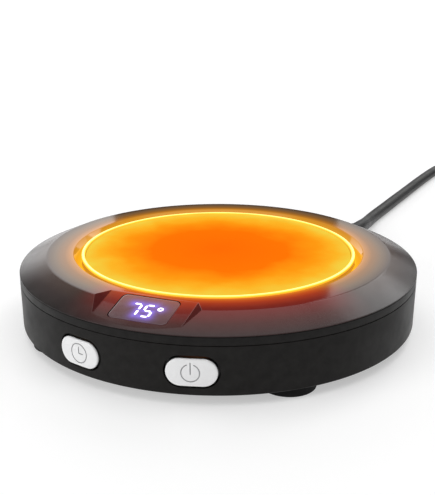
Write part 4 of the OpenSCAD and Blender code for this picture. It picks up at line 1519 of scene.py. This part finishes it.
def strokeSolid(points, width, low, high, place, closed=False):
    # groove cutter that follows a line in the button's face, with round ends unless it is closed
    points = [Vector(p) for p in points]
    half = width / 2
    left, right = [], []
    count = len(points)
    for k, p in enumerate(points):
        ways = [(p - points[k - 1]).normalized()] if closed or k else []
        if closed or k < count - 1:
            ways.append((points[(k + 1) % count] - p).normalized())
        n1, n2 = (Vector((-d.y, d.x)) for d in (ways[0], ways[-1]))
        side = (n1 + n2).normalized()
        side = side * (half / max(0.3, side.dot(n1)))  # no long spike where the line turns sharply
        left.append(p + side)
        right.append(p - side)
    if not closed:
        leftEnd, rightEnd = roundEnd(points[-1], points[-2], half)
        rightStart, leftStart = roundEnd(points[0], points[1], half)
        left = leftStart[::-1] + left + leftEnd
        right = rightStart[::-1] + right + rightEnd
    count = len(left)
    verts = [place(p.x, p.y, w) for w in (low, high) for p in left + right]
    faces = []
    up = 2 * count
    for k in range(count if closed else count - 1):
        n = (k + 1) % count
        l0, l1, r0, r1 = k, n, count + k, count + n
        faces += [[l0, l1, r1, r0], [up + l0, up + r0, up + r1, up + l1]]
        faces += [[l0, up + l0, up + l1, l1], [r0, r1, up + r1, up + r0]]
    if not closed:
        faces += [[k, count + k, 3 * count + k, 2 * count + k] for k in (0, count - 1)]
    made = newSolid("stroke", verts, faces)
    # the groove walls take the painted grey shade
    paint(made, grooveGrey)
    return made


def arcPoints(x, radius, start, end, count):
    # points of an arc round (x, 0), with its ends in degrees
    turns = [math.radians(start + (end - start) * k / count) for k in range(count + 1)]
    return [(x + radius * math.cos(a), radius * math.sin(a)) for a in turns]


def powerSign():
    # lines of the sign as (points, closed): a ring with a gap and a bar in it
    x, r = button["powerShift"], button["powerRadius"] - button["iconLine"] / 2
    bar = [(x, y) for y in button["powerBar"]]
    return [(arcPoints(x, r, *button["powerArc"], 56), False), (bar, False)]


def clockSign():
    # a ring and two hands
    x, r = button["clockShift"], button["clockRadius"] - button["iconLine"] / 2
    upright, level = button["clockHands"]
    return [(arcPoints(x, r, 0, 360, 64)[:-1], True), ([(x, upright), (x, 0), (x + level, 0)], False)]


def makeButton(name, side, sign, body, node):
    b, k = button, key
    place, straight = onWall(side), flatWall(side)
    width, height, radius, back = b["width"], b["height"], b["height"] / 2, b["backRadius"]
    sections = [(width, height, radius, w) for w in (back - 0.2, k["paintedShadeRadius"] + 0.02)]
    rounding = (2 * b["edge"], b["edge"] * k["edgeDepth"], k["edgeSteps"])
    sections += roundedEnd(width, height, radius, b["faceRadius"], *rounding)
    cap = loft(name, sections, place, 14, 10, strip=True)
    paint(cap, looks["button_white"])
    inner = back - k["flangeThickness"]
    size = (k["flangeWidth"], k["flangeHeight"], k["flangeRadius"])
    flange = loft("flange", [(*size, w) for w in (inner, back)], straight, 6, 8)
    stem = rod("stem", k["stemRadius"], k["stemEnd"], inner + 0.1, straight, 40)
    combine(cap, [flange, stem], "UNION")
    ends = (b["faceRadius"] - b["iconDepth"], b["faceRadius"] + 1)
    strokes = [strokeSolid(points, b["iconLine"], *ends, place, closed) for points, closed in sign()]
    combine(cap, strokes, "DIFFERENCE")
    tidyMesh(cap)
    cap.data.materials.append(looks["plunger_black"])
    dark = len(cap.data.materials) - 1
    # painted shade: faces inside the wall get the black material where the gap's shadow falls
    for part in cap.data.polygons:
        if part.center.xy.length < k["paintedShadeRadius"] * mm:
            part.material_index = dark
    return settle(cap, "button_white", (node,), body, degrees=30)


makeButton("power_cap", 1, powerSign, "power_key", "power_button")
makeButton("timer_cap", -1, clockSign, "timer_key", "timer_button")
print("buttons made")


def makeFeet():
    f = foot
    profile = filleted(
        [
            (0, f["hollowDepth"], 0),
            (f["hollowRadius"], f["hollowDepth"], 0.2),
            (f["hollowRadius"] + f["hollowSlope"], 0, 0.1),
            (f["radius"], 0, f["edge"]),
            (f["radius"], f["top"], f["topEdge"]),
            (0, f["top"], 0),
        ]
    )
    piece = lathe("foot", profile, 96, closed=False)
    made = makeCopies("feet", piece, aroundAxis(f["angles"], f["pitch"]), looks["foot_rubber"])
    return settle(made, "foot_rubber", ("rubber_feet",))


def crossCutters(low, high):
    # two slots across the Z axis
    length, width = (share * screw["headRadius"] for share in screw["crossSize"])
    cutters = []
    for turn in (0, math.pi / 2):
        out = Vector((math.cos(turn), math.sin(turn), 0))
        side = Vector((-out.y, out.x, 0))
        place = lambda u, v, w, a=out, b=side: (a * u + b * v + Vector((0, 0, w))) * mm
        cutters.append(loft("cross", [(length, width, 0.05, w) for w in (low, high)], place, 2, 2))
    return cutters


def makeScrews():
    q = screw
    headTop = q["headZ"] + q["headHeight"]
    profile = filleted(
        [
            (0, q["headZ"], 0),
            (q["headRadius"], q["headZ"], q["headEdge"]),
            (q["headRadius"], headTop, 0.1),
            (q["shankRadius"], headTop, 0.1),
            (q["shankRadius"], q["shankEndZ"], q["tipEdge"]),
            (0, q["shankEndZ"], 0),
        ]
    )
    piece = lathe("screw", profile, 48, closed=False)
    combine(piece, crossCutters(q["headZ"] - 1, q["headZ"] + q["headHeight"] / 2), "DIFFERENCE")
    places = aroundAxis(q["angles"], q["pitch"])
    turn = math.radians(q["mostTurn"])
    made = makeCopies("bottom_screws", piece, places, looks["screw_dark"], turn, q["seed"])
    return settle(made, "screw_dark", ("housing_screws",))


makeFeet()
makeScrews()
print("feet and screws made")


relief = {
    "neckRadius": 3.6,
    "flangeWidth": 13.0,
    "flangeBack": 60.7,
    "flangeFront": 62.6,
    "flangeBottom": -3.9,
    "flangeTop": 5.0,
    "shoulderRadius": 4.75,
    "shoulderEnd": 68.1,
    "coreStart": 4.05,
    "coreEnd": 3.15,
    "end": 90.0,
    "rings": 7,
    "firstRing": 69.1,
    "ringPitch": 2.714,
    "ringLength": 1.49,
    "ringFall": 0.186,  # each ring is this much smaller in radius than the one before
    "ringEdge": 0.35,
    "flangeEdge": 0.6,
    "shoulderEdge": 0.6,
}


def ribTree(names):
    # evenly spaced collars around the Z axis, each a little smaller than the one before
    kinds = {"Rings": "Int", "Material": "Material"}
    tree, start, end = newTree("ribbedSleeve", [(name, kinds.get(name, "Float")) for name in names])
    get = start.outputs

    def node(kind, values=None, **settings):
        return treeNode(tree, kind, values, **settings).outputs[0]

    first = node("ShaderNodeCombineXYZ", {"Z": get["First Ring"]})
    step = node("ShaderNodeCombineXYZ", {"Z": get["Pitch"]})
    points = {"Count": get["Rings"], "Start Location": first, "Offset": step}
    line = node("GeometryNodeMeshLine", points)
    path = node("GeometryNodeCurvePrimitiveCircle", {"Resolution": 64, "Radius": get["Radius"]})
    size = {"Width": get["Ring Length"], "Height": get["Ring Length"]}
    section = node("GeometryNodeCurvePrimitiveQuadrilateral", size)
    corners = {"Curve": section, "Count": 3, "Radius": get["Edge"]}
    rounded = node("GeometryNodeFilletCurve", corners, mode="POLY")
    collar = node("GeometryNodeCurveToMesh", {"Curve": path, "Profile Curve": rounded})
    number = node("GeometryNodeInputIndex")
    share = node("ShaderNodeMath", {0: get["Fall"], 1: get["Radius"]}, operation="DIVIDE")
    loss = node("ShaderNodeMath", {0: number, 1: share}, operation="MULTIPLY")
    size = node("ShaderNodeMath", {0: 1.0, 1: loss}, operation="SUBTRACT")
    scale = node("ShaderNodeCombineXYZ", {"X": size, "Y": size, "Z": 1.0})
    rings = node("GeometryNodeInstanceOnPoints", {"Points": line, "Instance": collar, "Scale": scale})
    both = treeNode(tree, "GeometryNodeJoinGeometry")
    for part in (get["Geometry"], rings):
        tree.links.new(part, both.inputs[0])
    endTree(tree, both.outputs[0], get["Material"], end)
    return tree


def makeRelief():
    r = relief
    start, wall = r["flangeFront"] - 0.3, housing["radius"] + 0.1
    profile = filleted(
        [
            (0, start, 0),
            (r["neckRadius"], start, 0),
            (r["neckRadius"], wall, 0.2),
            (r["shoulderRadius"], wall, 0.2),
            (r["shoulderRadius"], r["shoulderEnd"], r["shoulderEdge"]),
            (r["coreStart"], r["shoulderEnd"], 0.2),
            (r["coreEnd"], r["end"], 0.3),
            (0, r["end"], 0),
        ]
    )
    made = lathe("cord_sleeve", profile, 64, closed=False)
    lengths = {
        "First Ring": r["firstRing"] + r["ringLength"] / 2,
        "Pitch": r["ringPitch"],
        "Ring Length": r["ringLength"],
        "Radius": r["shoulderRadius"] - r["ringFall"] - r["ringLength"] / 2,
        "Fall": r["ringFall"],
        "Edge": r["ringEdge"],
    }
    values = {name: length * mm for name, length in lengths.items()}
    values.update({"Rings": r["rings"], "Material": looks["relief_rubber"]})
    runTree(made, ribTree(values), values)
    movePoints(made, alongOutlet)  # the sleeve was made upright
    made.data.flip_normals()
    middle = (r["flangeBottom"] + r["flangeTop"]) / 2
    size = (r["flangeWidth"], r["flangeTop"] - r["flangeBottom"], r["flangeEdge"])
    place = lambda u, v, w: alongOutlet(u, v + middle, w)
    flange = loft("flange", [(*size, w) for w in (r["flangeBack"], r["flangeFront"])], place)
    paint(flange, looks["relief_rubber"])
    made = joinAll([made, flange])
    tidyMesh(made)
    return settle(made, "relief_rubber", ("strain_relief",))


sleeve = makeRelief()
print("strain relief made")


plug = {
    "x": 130.0,
    "frontY": 194.0,
    "axisZ": 7.0,
    "width": 22.0,
    "height": 14.0,
    "cornerRadius": 3.5,
    "frontEdge": ((1.6, 0.8, 0.0), (0.5, 0.2, 0.25), (0.0, 0.0, 0.9)),  # (inset, less radius, depth)
    "frontLength": 14.4,
    "waist": 4.5,  # length of the smooth change from the front to the neck
    "neckWidth": 14.0,
    "neckHeight": 12.0,
    "neckEdge": (2.1, 1.5),
    "length": 24.0,
    "sleeveLength": 14.0,
    "sleeveRadius": 5.0,
    "tipRadius": 3.45,
    "sleeveRings": 5,
    "ringShape": ((0.0, 0.55), (0.15, 0.62), (0.75, 0.68), (0.8, 0.95)),  # (less radius, share of its length)
    "bladeX": 6.35,
    "bladeWidth": 6.3,
    "bladeThickness": 1.5,
    "bladeLength": 16.0,
    "bladeHole": 1.5,
    "bladeHoleAt": 3.0,  # from the tip
    "gripRibs": 4,
    "ribStart": 2.6,
    "ribPitch": 1.9,
    "ribSize": (0.9, 7.6, 0.45),
    "ribDepth": 0.35,
}


def onPlug(u, v, w):
    # w runs from the front face towards the lead
    return Vector((plug["x"] + u, plug["frontY"] + w, plug["axisZ"] + v)) * mm


def plugSections():
    p = plug
    w, h, r = p["width"], p["height"], p["cornerRadius"]
    neckW, neckH = p["neckWidth"], p["neckHeight"]
    sections = [(w - inset, h - inset, r - less, depth) for inset, less, depth in p["frontEdge"]]
    for k in range(9):
        t = k / 8
        share = t * t * (3 - 2 * t)
        depth = p["frontLength"] - p["waist"] + p["waist"] * t
        sections.append((w + (neckW - w) * share, h + (neckH - h) * share, r, depth))
    return sections + roundedEnd(neckW, neckH, r, p["length"], *p["neckEdge"], 4)


def sleeveProfile():
    # (radius, depth) of the plug's ribbed sleeve
    p = plug
    start, length = p["length"] - 0.5, p["sleeveLength"] + 0.5
    points = [(0, start)]
    pitch = length / p["sleeveRings"]
    for k in range(p["sleeveRings"]):
        r = p["sleeveRadius"] + (p["tipRadius"] - p["sleeveRadius"]) * (k + 0.5) / p["sleeveRings"]
        low = start + k * pitch
        points += [(r - 0.05, low), (r, low + 0.2)]
        points += [(r - less, low + pitch * share) for less, share in p["ringShape"]]
    return points + [(p["tipRadius"] - 0.8, start + length), (0, start + length)]


def makePlug():
    p = plug
    made = loft("plug_housing", plugSections(), onPlug, 8, 6)
    paint(made, looks["plug_black"])
    ribs = []
    for side in (-1, 1):
        for k in range(p["gripRibs"]):
            depth = p["ribStart"] + k * p["ribPitch"]
            place = lambda u, v, w, s=side, d=depth: onPlug(s * w, v, u + d)
            reach = (p["width"] / 2 - p["ribDepth"], p["width"] / 2 + 2)
            ribs.append(loft("rib", [(*p["ribSize"], w) for w in reach], place, 4, 2))
    combine(made, ribs, "DIFFERENCE")
    ribbed = lathe("ribbed", sleeveProfile(), 48, closed=False)
    movePoints(ribbed, onPlug)
    tidyMesh(ribbed)
    paint(ribbed, looks["plug_black"])
    combine(made, [ribbed], "UNION")
    tidyMesh(made)
    return settle(made, "plug_black", ("plug_body",))


def makeBlades():
    p = plug
    t, width, length = p["bladeThickness"], p["bladeWidth"], p["bladeLength"]
    sections = [
        (t * 0.4, width - 1.6, 0.1, -length),
        (t * 0.8, width - 0.7, 0.2, -length + 0.5),
        (t, width, 0.3, -length + 1.6),
        (t, width, 0.3, 0.4),
    ]
    blades = []
    for side in (-1, 1):
        x = side * p["bladeX"]
        along = lambda u, v, w, x=x: onPlug(x + u, v, w)
        through = lambda u, v, w, x=x: onPlug(x + w, v, p["bladeHoleAt"] - length + u)
        blade = loft("blade", sections, along, 4, 4)
        combine(blade, [rod("hole", p["bladeHole"], -t, t, through, 32)], "DIFFERENCE")
        blades.append(blade)
    made = joinAll(blades)
    made.name = "plug_pins"
    tidyMesh(made)
    return settle(made, "blade_brass", ("plug_blades",))


plugHousing = makePlug()
plugPins = makeBlades()
print("plug made")


tie = {"angle": 62.0, "width": 5.0, "thickness": 0.6, "gap": 0.05, "directions": 72}


def turnsAt(angle, reach):
    # where the coil's turns cross a ray from its centre: (distance, height) in mm
    out = Vector((math.cos(angle), math.sin(angle)))
    side = Vector((-out.y, out.x))
    found = []
    for x, y, z in leadPath / mm:
        offset = Vector((x - lead["coilCentre"][0], y - lead["coilCentre"][1]))
        if abs(offset.dot(side)) < reach and offset.dot(out) > 0:
            found.append(Vector((offset.dot(out), z)))
    return found


def makeTie():
    # a strap drawn tight round all the turns
    t = tie
    angle = math.radians(t["angle"])
    out = Vector((math.cos(angle), math.sin(angle), 0))
    side = Vector((-out.y, out.x, 0))
    centre = Vector((*lead["coilCentre"], 0))
    turns = turnsAt(angle, t["width"] / 2)
    loops = []
    for thickness in (0, t["thickness"]):
        reach = lead["diameter"] / 2 + t["gap"] + thickness
        lowest = (t["thickness"] - thickness) / 2  # the strap stays above what the coil lies on
        loop = []
        for arm in (Vector(spot) for spot in circle(t["directions"])):
            point = max(turns, key=lambda c: c.dot(arm)) + arm * reach
            loop.append((point.x, max(point.y, lowest)))
        loops.append(loop)
    inner, outer = loops
    verts = []
    for loop, w in ((inner, -0.5), (outer, -0.5), (outer, 0.5), (inner, 0.5)):
        verts += [(centre + out * r + side * w * t["width"] + Vector((0, 0, z))) * mm for r, z in loop]
    made = newSolid("coil_tie", verts, gridFaces(4, t["directions"], closed=True), 1e-8)
    return settle(made, "relief_rubber")


coilTie = makeTie()
[tuple(p) for p in leadPath]


def dressNodes():
    # every carried-over node gets the material of its slot in the record
    slots = {entry["node"]: entry["material_slot"] for entry in frame["record"]["subparts"]}
    for name, node in frame["nodes"].items():
        paint(node, looks[slots[name]])


dressNodes()
print("CAD nodes dressed")


studio = {
    "floorSize": 60.0,  # metres
    "floorColour": (0.6, 0.6, 0.6),
    "floorGlow": (0.45, 0.8),  # light that the floor gives off by itself, nearby and far off
    "floorFar": (600.0, 2500.0),  # distances between which it rises
    "bandLight": 0.3,  # brightness of the sky below the dome
    "bandBack": 0.05,  # the same behind the housing, between the panels
    "bandTurn": (0.5, 0.8),  # how far back a direction points where it changes
    "domeLight": 1.6,
    "domeFrom": 50.0,  # degrees above the horizon where the dome starts
    "domeFull": 60.0,
    "panels": {
        "leftPanel": {"at": (-1.74, 2.0, 1.05), "size": (1.1, 2.1), "strength": 10.2},
        "rightPanel": {"at": (-0.035, 2.0, 0.7), "size": (0.75, 0.7), "strength": 1.8},
        "farPanel": {"at": (0.64, 2.0, 0.7), "size": (0.64, 0.7), "strength": 0.8},
        "highPanel": {"at": (0.5, 1.9, 1.52), "size": (0.8, 1.15), "strength": 8.8},
        "frontPanel": {"at": (-1.4, -1.5, 0.7), "size": (1.0, 1.0), "strength": 13},
    },
}


def makeFloor():
    half = studio["floorSize"] / 2
    corners = [(-half, -half, 0), (half, -half, 0), (half, half, 0), (-half, half, 0)]
    made = newObject("floor", corners, [(0, 1, 2, 3)])
    material = makeMaterial("floorPaint", studio["floorColour"], 0.6)
    away = radiusOf(material, objectCoordinates(material))
    light = remap(material, away, *studio["floorGlow"], *studio["floorFar"], smooth=True)
    glow(material, (1, 1, 1), light)
    paint(made, material)


def makePanel(name, at, size, strength):
    # a soft light that faces the housing
    data = bpy.data.lights.new(name, "AREA")
    data.shape = "RECTANGLE"
    data.size, data.size_y = size
    data.energy = strength
    panel = bpy.data.objects.new(name, data)
    bpy.context.scene.collection.objects.link(panel)
    panel.location = at
    panel.rotation_mode = "QUATERNION"
    panel.rotation_quaternion = (-Vector(at)).to_track_quat("-Z", "Y")
    panel.visible_camera = False


def makeWorld():
    # a bright dome above a dimmer band; what is seen past the floor stays white
    q = studio
    world = bpy.data.worlds.new("studio")
    bpy.context.scene.world = world
    world.use_nodes = True
    background = world.node_tree.nodes["Background"].inputs
    direction = addNode(world, "ShaderNodeTexCoord").outputs["Generated"]
    axes = splitAxes(world, direction)
    start, full = (math.sin(math.radians(q[key])) for key in ("domeFrom", "domeFull"))
    band = remap(world, axes["Y"], q["bandLight"], q["bandBack"], *q["bandTurn"], smooth=True)
    light = remap(world, axes["Z"], band, q["domeLight"], start, full, smooth=True)
    seen = addNode(world, "ShaderNodeLightPath").outputs["Is Camera Ray"]
    setOrLink(world, background["Strength"], math2(world, "MAXIMUM", light, seen))
    setOrLink(world, background["Color"], (1, 1, 1))


makeFloor()
for name, settings in studio["panels"].items():
    makePanel(name, **settings)
makeWorld()
bpy.context.scene.view_settings.view_transform = "Standard"
print("studio made")
